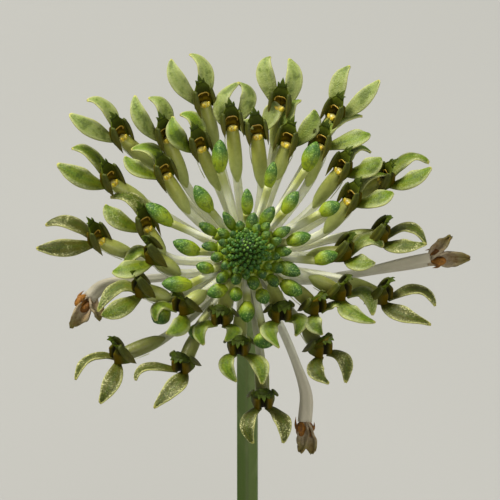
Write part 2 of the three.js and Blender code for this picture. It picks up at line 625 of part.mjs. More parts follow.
const group = new THREE.Group();
group.add(meshOf('pot', makePot(), 0xa8583a, 0.9));
group.add(meshOf('soil', makeSoil(), 0x3a2a1c, 0.95));
group.add(meshOf('pseudobulb', manifoldOf(turned(BULB, 16)), 0x6f8a3a, 0.6));
group.add(meshOf('leaf_left', makeLeaf(Math.PI * 1.03, INNER_SHEATH, 20, 26, 4), 0x4f7a2c, 0.5));
group.add(meshOf('leaf_right', makeLeaf(-Math.PI * 0.03, OUTER_SHEATH, 10, 20, 8), 0x4f7a2c, 0.5));
group.add(meshOf('flower_stem', makeStem(), 0x7f9a52, 0.6));
group.add(meshOf('flower_head', makeHead(), 0xa3b46c, 0.6));
group.add(meshOf('bud_crown', makeCrown(), 0x3d6b2c, 0.6));

export default group;
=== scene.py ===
# Dresses the potted orchid: every piece gets a fine mesh and a procedural material.
# Lengths in this file are in millimetres and are turned into metres when a mesh is made.
import bisect
import math
import random

import bmesh
import bpy
from mathutils import Matrix, Vector, noise


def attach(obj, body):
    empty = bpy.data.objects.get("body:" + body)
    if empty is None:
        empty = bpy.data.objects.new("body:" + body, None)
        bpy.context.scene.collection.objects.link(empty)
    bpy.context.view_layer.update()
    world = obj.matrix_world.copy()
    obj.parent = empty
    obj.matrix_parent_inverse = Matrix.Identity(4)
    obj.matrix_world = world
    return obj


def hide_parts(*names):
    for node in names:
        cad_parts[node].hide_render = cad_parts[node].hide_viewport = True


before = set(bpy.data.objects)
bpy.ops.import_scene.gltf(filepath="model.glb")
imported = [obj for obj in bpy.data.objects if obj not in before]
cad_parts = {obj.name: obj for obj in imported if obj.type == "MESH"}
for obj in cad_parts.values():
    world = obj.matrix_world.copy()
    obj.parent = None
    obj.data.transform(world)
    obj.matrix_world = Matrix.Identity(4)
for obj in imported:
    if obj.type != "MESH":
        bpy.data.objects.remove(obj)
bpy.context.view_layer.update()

MM = 0.001

# The head: its middle and the directions that the flowers are placed along
HEAD = Vector((0, -38, 268))
LOOK = math.radians(48)
ACROSS = Vector((1, 0, 0))
RISE = Vector((0, math.sin(LOOK), math.cos(LOOK)))
FRONT = Vector((0, -math.cos(LOOK), math.sin(LOOK)))
LEAN = math.radians(8)
AXIS = FRONT * math.cos(LEAN) + RISE * math.sin(LEAN)
UP = Vector((0, 0, 1))
RACHIS_LOW = -13
RACHIS_HIGH = -4.9
CROWN_LOW = -4.55
CROWN_HIGH = 4.6
CROWN_RADIUS = 1.6

# Seeds of the random draws. Where a kind has many pieces, each piece's number is added to its seed.
FLOWER_SEED = 100
BUD_SEED = 500
RING_SEED = 900
TINY_SEED = 1500
SPENT_SEED = 2200
HUSK_SEED = 77
SOIL_SEED = 31

# How finely the sheets are divided, along and across
SEPAL_GRID = (24, 13)
BACK_GRID = (20, 11)
TOOTH_GRID = (14, 9)
SCALE_GRID = (6, 5)
SPENT_GRID = (26, 15)
LIP_GRID = (40, 35)
LEAF_GRID = (130, 97)
HUSK_GRID = (22, 30)
CURVE_STEPS = 24
LEAF_STEPS = 1200

# How finely the tubes and the closed forms are divided, along and around
PEDICEL_RINGS = (22, 24)
HORN_RINGS = (15, 12)
THREAD_RINGS = (14, 6)
ARCH_RINGS = (26, 8)
POLLEN_RINGS = (9, 10)
COLUMN_RINGS = (11, 14)
BUD_RINGS = (14, 18)
BUD_STALK_RINGS = (16, 18)
RING_STALK_RINGS = (8, 12)
TINY_RINGS = (8, 10)
CORE_RINGS = (15, 36)
RACHIS_RINGS = (17, 36)
SPENT_RINGS = (40, 20)
SPENT_LIP_RINGS = (15, 18)
STEM_RINGS = (90, 48)
BULB_RINGS = (60, 72)
DRAIN_SIDES = 40
CHIP_RINGS = (9, 12)

# Thicknesses and radii at the middle or the foot of a piece
SEPAL_THICK = 0.34
BACK_THICK = 0.3
TOOTH_THICK = 0.17
SCALE_THICK = 0.05
SPENT_THICK = 0.16
HUSK_THICK = 0.12
LEAF_THICK = 0.62
PEDICEL_RADIUS = 0.43
THREAD_RADIUS = 0.075
ARCH_RADIUS = 0.085
BUD_STALK_RADIUS = 0.33
RING_STALK_RADIUS = 0.38
RACHIS_RADIUS = 1.2
SPENT_STALK_RADIUS = 0.42
ROOT_RADIUS = 0.7

# Open flowers, across and up from the middle of the head: the column, the tips of the two lateral
# sepals, the tip of the reflexed dorsal sepal.
FLOWERS = [
    ((-4.3, 14.7), (-7.7, 19.3), (-5.7, 20.0), (-3.2, 10.6)),
    ((-1.5, 12.3), (-0.9, 17.1), (-0.7, 17.1), (-1.0, 7.2)),
    ((-8.1, 11.1), (-11.3, 15.6), (-9.9, 15.5), (-6.2, 6.6)),
    ((-4.7, 10.1), (-7.6, 13.5), (-6.7, 13.8), (-2.9, 6.3)),
    ((-12.7, 11.3), (-17.9, 13.7), (-16.1, 15.4), (-9.6, 8.5)),
    ((-13.6, 6.7), (-19.1, 8.7), (-17.6, 10.5), (-10.2, 4.6)),
    ((-8.2, 7.4), (-12.2, 9.5), (-11.7, 10.3), (-6.0, 3.9)),
    ((-10.1, 2.1), (-14.2, 4.8), (-13.8, 5.6), (-8.4, -0.6)),
    ((-14.9, 0.8), (-21.2, 0.2), (-20.4, 2.9), (-11.6, -0.6)),
    ((-9.2, -0.7), (-12.8, -1.8), (-13.6, -1.9), (-6.9, -2.4)),
    ((-10.4, -4.0), (-14.8, -6.5), (-15.2, -6.1), (-7.8, -4.9)),
    ((-6.2, -5.6), (-8.2, -8.4), (-9.4, -7.0), (-4.4, -4.4)),
    ((-2.5, -6.6), (-2.3, -9.1), (-4.4, -9.5), (-1.7, -3.6)),
    ((-0.8, -9.6), (1.4, -13.4), (-1.2, -13.3), (-0.6, -6.2)),
    ((-12.6, -10.6), (-14.9, -15.4), (-17.6, -12.9), (-8.6, -9.1)),
    ((-6.4, -11.4), (-9.5, -15.6), (-11.5, -12.7), (-5.0, -8.4)),
    ((1.6, -15.0), (3.7, -19.4), (0.5, -19.5), (1.4, -11.2)),
    ((7.3, -9.8), (9.9, -13.3), (8.3, -13.3), (5.9, -8.0)),
    ((3.3, -6.2), (4.7, -8.5), (3.4, -9.6), (2.5, -3.6)),
    ((6.7, -5.6), (9.7, -6.4), (7.7, -8.4), (4.6, -3.7)),
    ((9.2, -4.2), (12.6, -6.5), (12.9, -7.0), (6.6, -2.9)),
    ((13.4, -4.6), (19.2, -5.3), (18.5, -7.2), (10.2, -3.2)),
    ((9.5, -0.3), (13.7, 0.5), (12.9, -1.2), (6.4, -0.6)),
    ((13.2, 1.4), (18.3, 0.8), (17.9, 0.9), (10.0, 1.3)),
    ((13.7, 6.9), (18.5, 9.3), (18.5, 8.4), (10.6, 4.9)),
    ((10.3, 4.8), (14.2, 7.6), (14.7, 6.0), (8.0, 1.9)),
    ((9.4, 7.9), (12.6, 10.2), (13.5, 9.5), (6.9, 4.5)),
    ((7.4, 10.4), (11.6, 13.9), (12.3, 12.1), (6.2, 6.7)),
    ((4.0, 10.6), (5.2, 15.4), (7.0, 14.2), (3.1, 7.4)),
    ((3.3, 14.3), (2.1, 19.8), (4.3, 19.5), (2.8, 10.4)),
    ((1.0, 11.4), (1.1, 13.2), (2.4, 15.1), (1.5, 6.6)),
    ((8.7, 13.4), (10.3, 18.7), (13.3, 17.2), (6.8, 10.0)),
]

# Buds on stalks: base, tip and width. Where they aren't the usual ones, the lift and the depth of the root follow.
BUDS = [
    ((-2.7, 7.7), (-2.7, 11.0), 1.6), ((-3.6, 3.8), (-5.2, 6.4), 1.6), ((-7.5, 2.5), (-10.1, 4.6), 1.6),
    ((0.0, 3.4), (0.0, 6.1), 1.2), ((-4.7, -0.3), (-7.4, 0.8), 1.5), ((3.6, 3.6), (5.1, 5.8), 1.4),
    ((2.1, 6.1), (2.7, 8.8), 1.2), ((5.9, 7.9), (7.0, 10.8), 1.7), ((7.3, 3.6), (9.3, 4.6), 1.5),
    ((3.9, 0.7), (6.4, 1.4), 1.4), ((6.7, -1.2), (9.1, -0.4), 1.4), ((3.4, -3.3), (5.5, -4.4), 1.6),
    ((1.2, -4.0), (2.0, -5.4), 1.4), ((0.0, -5.2), (0.0, -7.3), 1.6), ((-2.0, -3.8), (-4.0, -4.5), 1.4),
    ((-5.5, -3.5), (-8.5, -3.4), 1.6, 1.6, None), ((-3.3, -2.0), (-5.1, -1.6), 1.2),
    ((-1.0, -3.8), (-1.2, -5.2), 1.3), ((1.7, -8.4), (1.7, -9.9), 2.2),
    ((-8.0, -5.9), (-9.4, -7.3), 2.0, -1.9, -7.5), ((-4.9, -7.6), (-5.3, -9.0), 1.6, -1.4, -6.5),
]
# Small buds around the dome: the middle of each across and up, its width and its length
RING_BUDS = [
    (-4.1, 2.2, 0.95, 1.7), (-1.9, 3.0, 0.9, 1.9), (-0.7, 2.45, 0.8, 0.9), (0.55, 2.9, 1.1, 1.7),
    (1.0, 2.2, 0.75, 0.9), (2.2, 3.5, 1.15, 1.9), (1.9, 2.3, 0.8, 1.1), (1.95, 1.5, 0.7, 0.9),
    (3.65, 1.8, 0.95, 1.7), (3.0, 0.85, 0.8, 1.1), (2.4, 0.25, 0.6, 0.8), (3.8, -0.2, 0.9, 1.5),
    (2.9, -0.7, 0.75, 0.95), (2.15, -0.8, 0.6, 0.7), (3.15, -1.9, 0.95, 1.2), (2.15, -1.7, 0.65, 0.8),
    (4.45, -2.1, 1.3, 2.1), (2.7, -3.25, 0.95, 1.3), (1.55, -2.55, 0.8, 0.9), (0.65, -3.5, 1.1, 1.2),
    (-0.1, -2.65, 0.75, 0.85), (-1.15, -3.05, 0.95, 1.1), (-1.15, -2.05, 0.7, 0.85), (-2.6, -2.9, 0.95, 1.25),
    (-2.2, -1.65, 0.8, 0.95), (-3.15, -0.8, 0.9, 1.1), (-2.25, -0.2, 0.65, 0.8), (-2.45, 0.7, 0.75, 0.95),
    (-3.9, 0.3, 0.85, 1.4), (-2.45, 1.65, 0.85, 1.2), (-1.35, 1.55, 0.65, 0.8), (-1.7, 0.9, 0.55, 0.65),
    (-0.1, 1.9, 0.6, 0.7),
]
# How far in front of the head's middle they lie, by their way from it
RING_DEPTH = [(0, 3.2), (2.0, 2.1), (2.5, 1.5), (3.1, 0.9), (3.8, 0.45), (5.2, 0.1)]
TINY_BUDS = 74
APEX_BUDS = 5

# Withered flowers: four places along the stalk, and the tips of the two sepals
SPENT = [
    (((5.3, -3.2), (10.3, -2.6), (15.3, -1.6), (18.7, -0.95)), ((22.8, -0.9), (20.8, 1.4))),
    (((-8.2, -2.8), (-12.4, -3.2), (-14.9, -3.9), (-16.1, -5.0)), ((-17.9, -8.1), (-14.9, -7.2))),
    (((3.6, -8.3), (5.0, -11.6), (6.0, -14.8), (5.9, -17.6)), ((6.6, -20.9), (5.4, -20.7))),
]
SPENT_DEPTHS = (-9.5, -8.8, -8.2, -8.0)

# Pot, soil, bulb, stem and leaves
POT_HEIGHT = 80
POT_TOP_RADIUS = 45
POT_BASE_RADIUS = 31
POT_WALL = 4.5
POT_ROUNDING = 1.3
POT_STEP = 2.5
POT_SIDES = 160
RIM_HEIGHT = 19
RIM_STEP = 2.5
FLOOR = 6
DRAIN_HOLES = 3
DRAIN_RADIUS = 4
DRAIN_RING = 15
GAP = 0.3
SOIL_LEVEL = 70
SOIL_MOUND = 3
SOIL_SIDES = 150
SOIL_RINGS = 63
CHIPS = 230
BITS = 70
BARE_RADIUS = 9
BULB_BOTTOM = 62
BULB_TOP = 94
BULB = [(0, BULB_BOTTOM), (4.2, 62.8), (6.6, 66), (7.5, 71), (6.9, 77), (5.4, 84), (3.6, 90.5), (2.9, 93.4),
        (2.4, BULB_TOP)]
# Papery sheaths at the bulb: lowest and highest edge, the angle of the middle and the angle it sweeps
HUSKS = [(70.8, 83.5, 0.6, 3.6), (71.2, 80.0, 3.4, 3.2), (70.6, 77.0, 5.2, 3.4)]
STEM_RADIUS = 1.6
STEM_STRAIGHT = 190
STEM_ARCH = 46
INNER_SHEATH = 2.35
OUTER_SHEATH = 3.45
SHEATH_BOTTOM = 94.3
LEAF_WIDTH = 50
# The leaves: piece, node, direction, radius and height of the sheath, how far the blade rises and droops
LEAVES = [
    ("blade_left", "leaf_left", math.pi * 1.03, INNER_SHEATH, 20, 26, 4),
    ("blade_right", "leaf_right", -math.pi * 0.03, OUTER_SHEATH, 10, 20, 8),
]


def clamp(x, low=0.0, high=1.0):
    return max(low, min(high, x))


def smooth(x, low, high):
    t = clamp((x - low) / (high - low))
    return t * t * (3 - 2 * t)


def mix(a, b, t):
    return a + (b - a) * t


def shares(count):
    """Evenly spread numbers from 0 to 1."""
    return [i / (count - 1) for i in range(count)]


def bent(a, b, c, t):
    """A point on the curve from a to c that bends toward b."""
    return a * (1 - t) ** 2 + b * (2 * t * (1 - t)) + c * t * t


def around(u, v, angle):
    return u * math.cos(angle) + v * math.sin(angle)


def polar(radius, angle, z):
    return Vector((radius * math.cos(angle), radius * math.sin(angle), z))


def through(stops, t):
    """A smooth value at t from (place, value) stops."""
    places = [s[0] for s in stops]
    i = max(0, min(len(stops) - 2, bisect.bisect_right(places, t) - 1))
    p = [stops[max(i - 1, 0)][1], stops[i][1], stops[i + 1][1], stops[min(i + 2, len(stops) - 1)][1]]
    u = clamp((t - places[i]) / (places[i + 1] - places[i]))
    return 0.5 * (2 * p[1] + (p[2] - p[0]) * u + (2 * p[0] - 5 * p[1] + 4 * p[2] - p[3]) * u * u
                  + (3 * p[1] - p[0] - 3 * p[2] + p[3]) * u * u * u)


def head_point(pair, depth):
    return HEAD + ACROSS * pair[0] + RISE * pair[1] + FRONT * depth


def rachis_point(depth):
    return HEAD + AXIS * depth


def square_to(direction, near):
    """Two directions at right angles to this one, the first as near as can be."""
    side = near - direction * near.dot(direction)
    if side.length < 1e-3:
        side = ACROSS - direction * direction.x
    side.normalize()
    return side, direction.cross(side).normalized()


def curve_points(points, count):
    """Evenly spread points along a centripetal Catmull-Rom curve."""
    ends = [points[0] * 2 - points[1]] + list(points) + [points[-1] * 2 - points[-2]]
    dense = []
    for i in range(1, len(ends) - 2):
        p = ends[i - 1:i + 3]
        knots = [0.0]
        for a, b in zip(p, p[1:]):
            knots.append(knots[-1] + max((b - a).length, 1e-6) ** 0.5)

        def level(a, b, first, last):
            low, high = knots[first], knots[last]
            return a * ((high - t) / (high - low)) + b * ((t - low) / (high - low))

        for step in range(CURVE_STEPS + (i == len(ends) - 3)):
            t = knots[1] + (knots[2] - knots[1]) * step / CURVE_STEPS
            a, b, c = (level(p[k], p[k + 1], k, k + 1) for k in range(3))
            dense.append(level(level(a, b, 0, 2), level(b, c, 1, 3), 1, 2))
    return spaced(dense, count)


def spaced(dense, count):
    """Points at even steps along a dense line."""
    reach = [0.0]
    for a, b in zip(dense, dense[1:]):
        reach.append(reach[-1] + (b - a).length)
    found = []
    for share in shares(count):
        goal = reach[-1] * share
        j = max(1, min(len(dense) - 1, bisect.bisect_left(reach, goal)))
        part = clamp((goal - reach[j - 1]) / max(reach[j] - reach[j - 1], 1e-9))
        found.append(dense[j - 1].lerp(dense[j], part))
    return found


def rim_of(count, width):
    """The edges around a sheet of points, each as the numbers of its two ends."""
    rim = [(j, j + 1) for j in range(width - 1)]
    rim += [((i + 1) * width - 1, (i + 2) * width - 1) for i in range(count - 1)]
    rim += [((count - 1) * width + j, (count - 1) * width + j - 1) for j in range(width - 1, 0, -1)]
    rim += [(i * width, (i - 1) * width) for i in range(count - 1, 0, -1)]
    return rim


def add_object(name, data):
    obj = bpy.data.objects.new(name, data)
    bpy.context.scene.collection.objects.link(obj)
    return obj


class Piece:
    """Collects closed shapes and makes one mesh of them, with four numbers at every point for its material:
    along and across the shape, a tint, and which face of a sheet it is."""

    def __init__(self, name):
        self.name = name
        self.points, self.faces, self.data = [], [], []

    def add(self, points, faces, data):
        start = len(self.points)
        self.points += points
        self.faces += [tuple(start + i for i in face) for face in faces]
        self.data += data

    def rings(self, stops, sides, spot, tint=0.5, shift=0.0):
        """A closed form of rings, one for each stop. spot(stop, angle) gives a point. tint is a number, or a
        function that gives one for each point."""
        points, data, faces = [], [], []
        for t, stop in zip(shares(len(stops)), stops):
            points += [spot(stop, math.tau * j / sides) for j in range(sides)]
            data += [(t, j / sides + shift, tint() if callable(tint) else tint, 0.5) for j in range(sides)]
        for i in range(len(stops) - 1):
            for j in range(sides):
                a, b = i * sides + j, i * sides + (j + 1) % sides
                faces.append((a, b, b + sides, a + sides))
        for row in (0, len(stops) - 1):
            first = row * sides
            points.append(sum(points[first:first + sides], Vector()) / sides)
            data.append(data[first])
            for j in range(sides):
                face = (first + j, first + (j + 1) % sides, len(points) - 1)
                faces.append(face[::-1] if row == 0 else face)
        self.add(points, faces, data)

    def tube(self, path, radius, sides, tint=0.5, near=FRONT):
        """A tube along a path. radius(t, angle) gives its radius."""
        stops = []
        for i, (t, centre) in enumerate(zip(shares(len(path)), path)):
            way = (path[min(i + 1, len(path) - 1)] - path[max(i - 1, 0)]).normalized()
            near, v = square_to(way, near)
            stops.append((t, centre, near, v))
        self.rings(stops, sides, lambda stop, angle: stop[1] + around(*stop[2:], angle) * radius(stop[0], angle),
                   tint)

    def stalk(self, points, fine, radius, tint=0.5):
        """A tube along a smooth line through these points."""
        self.tube(curve_points(points, fine[0]), radius, fine[1], tint)

    def shell(self, over, under, marks):
        """A closed skin between two sheets of points that have the same rows. marks is the tint at each point."""
        count, width = len(over), len(over[0])
        size = count * width
        data = [(v, 2 * part - 1, mark, face) for face in (1.0, 0.0) for v, row in zip(shares(count), marks)
                for part, mark in zip(shares(width), row)]
        faces = []
        for i in range(count - 1):
            for j in range(width - 1):
                a = i * width + j
                faces.append((a, a + width, a + width + 1, a + 1))
                faces.append((size + a, size + a + 1, size + a + width + 1, size + a + width))
        faces += [(a, b, size + b, size + a) for a, b in rim_of(count, width)]
        self.add([p for row in over + under for p in row], faces, data)

    def slab(self, rows, thick, tint=0.5):
        """A sheet from rows of points. thick(v, s) gives its thickness, v along and s across from -1 to 1."""
        count, width = len(rows), len(rows[0])
        upper, lower = [], []
        for i, row in enumerate(rows):
            over, under = [], []
            for j, point in enumerate(row):
                along = rows[min(i + 1, count - 1)][j] - rows[max(i - 1, 0)][j]
                across = row[min(j + 1, width - 1)] - row[max(j - 1, 0)]
                normal = along.cross(across)
                normal = normal.normalized() if normal.length > 1e-9 else UP
                half = thick(i / (count - 1), 2 * j / (width - 1) - 1) / 2
                over.append(point + normal * half)
                under.append(point - normal * half)
            upper.append(over)
            lower.append(under)
        self.shell(upper, lower, [[tint] * width] * count)

    def mesh(self):
        """The mesh in metres, with its faces turned outward."""
        mesh = bpy.data.meshes.new(self.name)
        mesh.from_pydata([p * MM for p in self.points], [], self.faces)
        made = bmesh.new()
        made.from_mesh(mesh)
        bmesh.ops.recalc_face_normals(made, faces=made.faces)
        made.to_mesh(mesh)
        made.free()
        return mesh

    def make(self, material, node, slot_name):
        mesh = self.mesh()
        for k, label in enumerate(("along", "across", "tint", "face")):
            layer = mesh.attributes.new(label, "FLOAT", "POINT")
            layer.data.foreach_set("value", [d[k] for d in self.data])
        mesh.polygons.foreach_set("use_smooth", [True] * len(mesh.polygons))
        mesh.materials.append(material)
        obj = add_object(self.name, mesh)
        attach(obj, "root")
        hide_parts(node)
        return obj


def hue(r, g, b):
    """A colour given as it looks on screen, 0 to 1, made linear."""
    return tuple(((c + 0.055) / 1.055) ** 2.4 if c > 0.04045 else c / 12.92 for c in (r, g, b)) + (1.0,)


class Look:
    """A procedural material, built with short calls. skin is its colour so far."""

    def __init__(self, name, roughness, specular=0.5):
        self.material = bpy.data.materials.new(name)
        self.material.use_nodes = True
        self.nodes = self.material.node_tree.nodes
        self.links = self.material.node_tree.links
        self.shader = self.nodes["Principled BSDF"].inputs
        self.shader["Roughness"].default_value = roughness
        self.shader["Specular IOR Level"].default_value = specular
        self.place = self.nodes.new("ShaderNodeTexCoord").outputs["Object"]
        self.skin = None

    def set(self, socket, given):
        """Gives an input a value or another node's output."""
        if isinstance(given, bpy.types.NodeSocket):
            self.links.new(given, socket)
        else:
            socket.default_value = given

    def node(self, kind, inputs):
        made = self.nodes.new("ShaderNode" + kind)
        for label, given in inputs.items():
            self.set(made.inputs[label], given)
        return made

    def read(self, *names):
        """The numbers that the mesh holds under these names."""
        found = []
        for name in names:
            node = self.nodes.new("ShaderNodeAttribute")
            node.attribute_name = name
            found.append(node.outputs["Fac"])
        return found

    def noise(self, scale, detail=3.0, rough=0.55, stretch=None):
        place = self.place
        if stretch:
            place = self.node("Mapping", {"Scale": stretch, "Vector": place}).outputs["Vector"]
        inputs = {"Scale": scale, "Detail": detail, "Roughness": rough, "Vector": place}
        return self.node("TexNoise", inputs).outputs["Fac"]

    def math(self, kind, *given):
        node = self.nodes.new("ShaderNodeMath")
        node.operation = kind
        for socket, value in zip(node.inputs, given):
            self.set(socket, value)
        return node.outputs[0]

    def times(self, a, b):
        return self.math("MULTIPLY", a, b)

    def plus(self, a, b):
        return self.math("ADD", a, b)

    def ribs(self, across, count):
        """Even ribs side by side, 0 between two of them and 1 on top."""
        return self.math("ABSOLUTE", self.math("SINE", self.times(across, count * math.pi)))

    def span(self, x, low, high, to_low=0.0, to_high=1.0):
        """Goes smoothly from to_low to to_high while x goes from low to high."""
        node = self.node("MapRange", {"Value": x, "From Min": low, "From Max": high, "To Min": to_low,
                                      "To Max": to_high})
        node.interpolation_type = "SMOOTHSTEP"
        return node.outputs["Result"]

    def blend(self, part, a, b):
        node = self.node("Mix", {"Factor": part})
        node.data_type = "RGBA"
        colours = [s for s in node.inputs if s.type == "RGBA"]
        self.set(colours[0], a)
        self.set(colours[1], b)
        return [s for s in node.outputs if s.type == "RGBA"][0]

    def start(self, part, a, b):
        """Begins the colour: a where part is 0 and b where it is 1."""
        self.skin = self.blend(part, hue(*a), hue(*b))

    def lay(self, part, *colour):
        """Lays a colour over the others where part is above 0."""
        self.skin = self.blend(part, self.skin, hue(*colour))

    def rough(self, given):
        self.set(self.shader["Roughness"], given)

    def bump(self, height, distance, strength=1.0):
        node = self.node("Bump", {"Strength": strength, "Distance": distance, "Height": height})
        self.links.new(node.outputs["Normal"], self.shader["Normal"])

    def flesh(self, weight, reach, red=1.0, green=1.0, blue=0.5):
        """Lets light into the skin."""
        self.shader["Subsurface Weight"].default_value = weight
        self.shader["Subsurface Scale"].default_value = reach
        self.shader["Subsurface Radius"].default_value = (red, green, blue)

    def finish(self):
        self.set(self.shader["Base Color"], self.skin)
        return self.material


# Materials

def sepal_look():
    look = Look("sepal_skin", 0.55, 0.2)
    along, across, tint = look.read("along", "across", "tint")
    off = look.math("ABSOLUTE", across)
    look.start(look.span(along, 0.0, 0.9), (0.41, 0.46, 0.05), (0.42, 0.52, 0.11))
    look.lay(look.span(tint, 0.0, 1.0, 0.0, 0.9), 0.33, 0.33, 0.08)
    stripe = look.times(look.span(off, 0.3, 0.04), look.span(along, 0.1, 0.5, 0.3, 0.55))
    look.lay(stripe, 0.29, 0.41, 0.07)
    cloud = look.noise(1000, 4, 0.62)
    look.lay(look.span(cloud, 0.48, 0.62, 0.0, 0.7), 0.23, 0.30, 0.05)
    veil = look.noise(450, 3, 0.6)
    edge = look.span(look.plus(off, look.times(veil, 0.6)), 0.75, 1.2)
    veil = look.times(look.math("MAXIMUM", look.span(veil, 0.46, 0.74, 0.0, 0.8), edge),
                      look.span(along, 0.1, 0.6, 0.1, 1.0))
    look.lay(look.span(tint, 0.35, 0.85, 0.0, 0.55), 0.19, 0.18, 0.01)
    frost = look.times(veil, look.span(tint, 0.0, 1.0, 0.24, 0.3))
    look.lay(frost, 0.61, 0.63, 0.38)
    pale = look.times(edge, look.span(along, 0.1, 0.6, 0.1, 0.5))
    pale = look.times(pale, look.span(tint, 0.3, 0.75, 1.0, 0.1))
    look.lay(pale, 0.66, 0.69, 0.50)
    # Pale patches on the sepals of the flowers high on the head, where the tint is below 0.
    high_pale_patches = look.times(look.span(tint, 0.0, -1.0, 0.0, 0.5), look.span(cloud, 0.62, 0.42, 0.35, 1.0))
    look.lay(high_pale_patches, 0.62, 0.64, 0.42)
    grain = look.noise(6500, 2, 0.7)
    dust = look.plus(look.times(veil, look.span(tint, 0.15, 0.75, 0.03, 0.85)), 0.01)
    dust = look.times(look.span(grain, 0.53, 0.58), dust)
    look.lay(dust, 0.88, 0.86, 0.64)
    dots = look.times(look.span(look.noise(6000, 2, 0.7), 0.53, 0.58), look.span(along, 0.2, 0.7, 0.15, 0.75))
    dots = look.times(dots, look.span(tint, 0.15, 0.75, 0.12, 1.0))
    look.lay(dots, 0.16, 0.19, 0.04)
    rim = look.times(look.span(off, 0.82, 1.0), look.span(along, 0.1, 0.6, 0.1, 0.62))
    look.lay(rim, 0.70, 0.70, 0.42)
    look.lay(look.span(along, 0.94, 1.0, 0.0, 0.8), 0.78, 0.76, 0.40)
    look.rough(look.span(grain, 0.4, 0.7, 0.36, 0.6))
    look.bump(grain, 0.00008)
    look.flesh(0.18, 0.0005)
    return look.finish()


def back_look():
    look = Look("dorsal_skin", 0.46)
    along, across, tint = look.read("along", "across", "tint")
    off = look.math("ABSOLUTE", across)
    look.start(look.span(along, 0.0, 0.9), (0.65, 0.65, 0.25), (0.67, 0.70, 0.40))
    look.lay(look.span(tint, 0.0, 1.0, 0.0, 0.5), 0.57, 0.60, 0.33)
    # Painted shade: a tint from 1 to 2 darkens the dorsal sepals of the flowers that stand in the shade of the head.
    look.lay(look.span(tint, 1.0, 2.0, 0.0, 0.75), 0.33, 0.33, 0.10)
    cloud = look.noise(1600, 4, 0.6)
    look.lay(look.span(cloud, 0.4, 0.7, 0.0, 0.35), 0.48, 0.53, 0.20)
    rim = look.times(look.span(off, 0.8, 1.0), 0.4)
    look.lay(rim, 0.70, 0.74, 0.48)
    look.bump(look.noise(5000, 2), 0.00004)
    look.flesh(0.25, 0.0007)
    return look.finish()


def lip_look():
    look = Look("lip_skin", 0.6, 0.08)
    along, across, face, pouch = look.read("along", "across", "face", "tint")
    off = look.math("ABSOLUTE", across)
    cloud = look.noise(1300, 4, 0.6)
    look.start(look.span(along, 0.2, 0.36), (0.50, 0.42, 0.05), (0.30, 0.24, 0.03))
    look.lay(look.span(along, 0.38, 0.5), 0.46, 0.36, 0.04)
    look.lay(look.span(along, 0.5, 0.6), 0.20, 0.23, 0.025)
    look.lay(look.span(along, 0.7, 0.98), 0.27, 0.32, 0.045)
    look.lay(look.span(off, 0.6, 0.85), 0.26, 0.29, 0.035)
    look.lay(look.times(look.span(cloud, 0.4, 0.7), 0.4), 0.17, 0.17, 0.03)
    inner = look.skin
    look.start(look.span(cloud, 0.35, 0.7), (0.27, 0.27, 0.02), (0.16, 0.16, 0.01))
    look.lay(look.span(along, 0.62, 0.95), 0.30, 0.36, 0.06)
    # Painted shade: a near-black strip down the groove between the two pouches.
    look.lay(look.times(look.span(off, 0.34, 0.14), look.span(along, 0.76, 0.62)), 0.10, 0.09, 0.01)
    look.lay(look.span(pouch, 0.5, 0.95, 0.0, 0.95), 0.34, 0.28, 0.008)
    outer = look.blend(face, inner, look.skin)
    look.start(look.span(cloud, 0.4, 0.65), (0.14, 0.17, 0.02), (0.20, 0.25, 0.03))
    rolled = look.span(pouch, 1.2, 2.0)
    look.skin = look.blend(rolled, outer, look.skin)
    look.lay(look.times(rolled, look.span(along, 0.79, 0.75)), 0.36, 0.35, 0.08)
    look.lay(look.times(look.span(off, 0.86, 1.0), 0.6), 0.34, 0.40, 0.09)
    look.bump(look.noise(5200, 2), 0.00004)
    look.flesh(0.05, 0.0005, 0.8, 0.8, 0.3)
    return look.finish()


def horn_look():
    look = Look("horn_skin", 0.6, 0.3)
    along, = look.read("along")
    look.start(look.span(along, 0.0, 0.9), (0.26, 0.29, 0.04), (0.36, 0.34, 0.07))
    cloud = look.noise(2000, 3)
    look.lay(look.span(cloud, 0.4, 0.7, 0.0, 0.4), 0.18, 0.20, 0.04)
    look.bump(cloud, 0.00003)
    look.flesh(0.12, 0.0005)
    return look.finish()


def tooth_look():
    look = Look("tooth_skin", 0.6, 0.12)
    along, = look.read("along")
    cloud = look.noise(2400, 3)
    look.start(look.span(along, 0.1, 0.9), (0.18, 0.22, 0.01), (0.24, 0.30, 0.03))
    look.lay(look.span(cloud, 0.4, 0.7, 0.0, 0.4), 0.17, 0.24, 0.05)
    look.bump(cloud, 0.00003)
    look.flesh(0.15, 0.0005)
    return look.finish()


def arch_look():
    look = Look("arch_skin", 0.36)
    cloud = look.noise(2600, 3)
    look.start(look.span(cloud, 0.35, 0.7), (0.84, 0.70, 0.28), (0.68, 0.52, 0.14))
    look.bump(cloud, 0.00003)
    look.flesh(0.2, 0.0004, 1.0, 0.6, 0.2)
    return look.finish()


def pollinia_look():
    look = Look("pollen_wax", 0.28, 0.6)
    grain = look.noise(3000, 3)
    look.start(look.span(grain, 0.35, 0.65), (0.74, 0.61, 0.05), (0.88, 0.80, 0.26))
    look.bump(look.noise(9000, 2), 0.00002)
    look.flesh(0.2, 0.0004, 1.0, 0.7, 0.2)
    return look.finish()


def column_look():
    look = Look("column_skin", 0.42)
    grain = look.noise(2600, 3)
    look.start(look.span(grain, 0.35, 0.7), (0.66, 0.60, 0.20), (0.80, 0.76, 0.45))
    look.bump(grain, 0.00004)
    look.flesh(0.2, 0.0005)
    return look.finish()


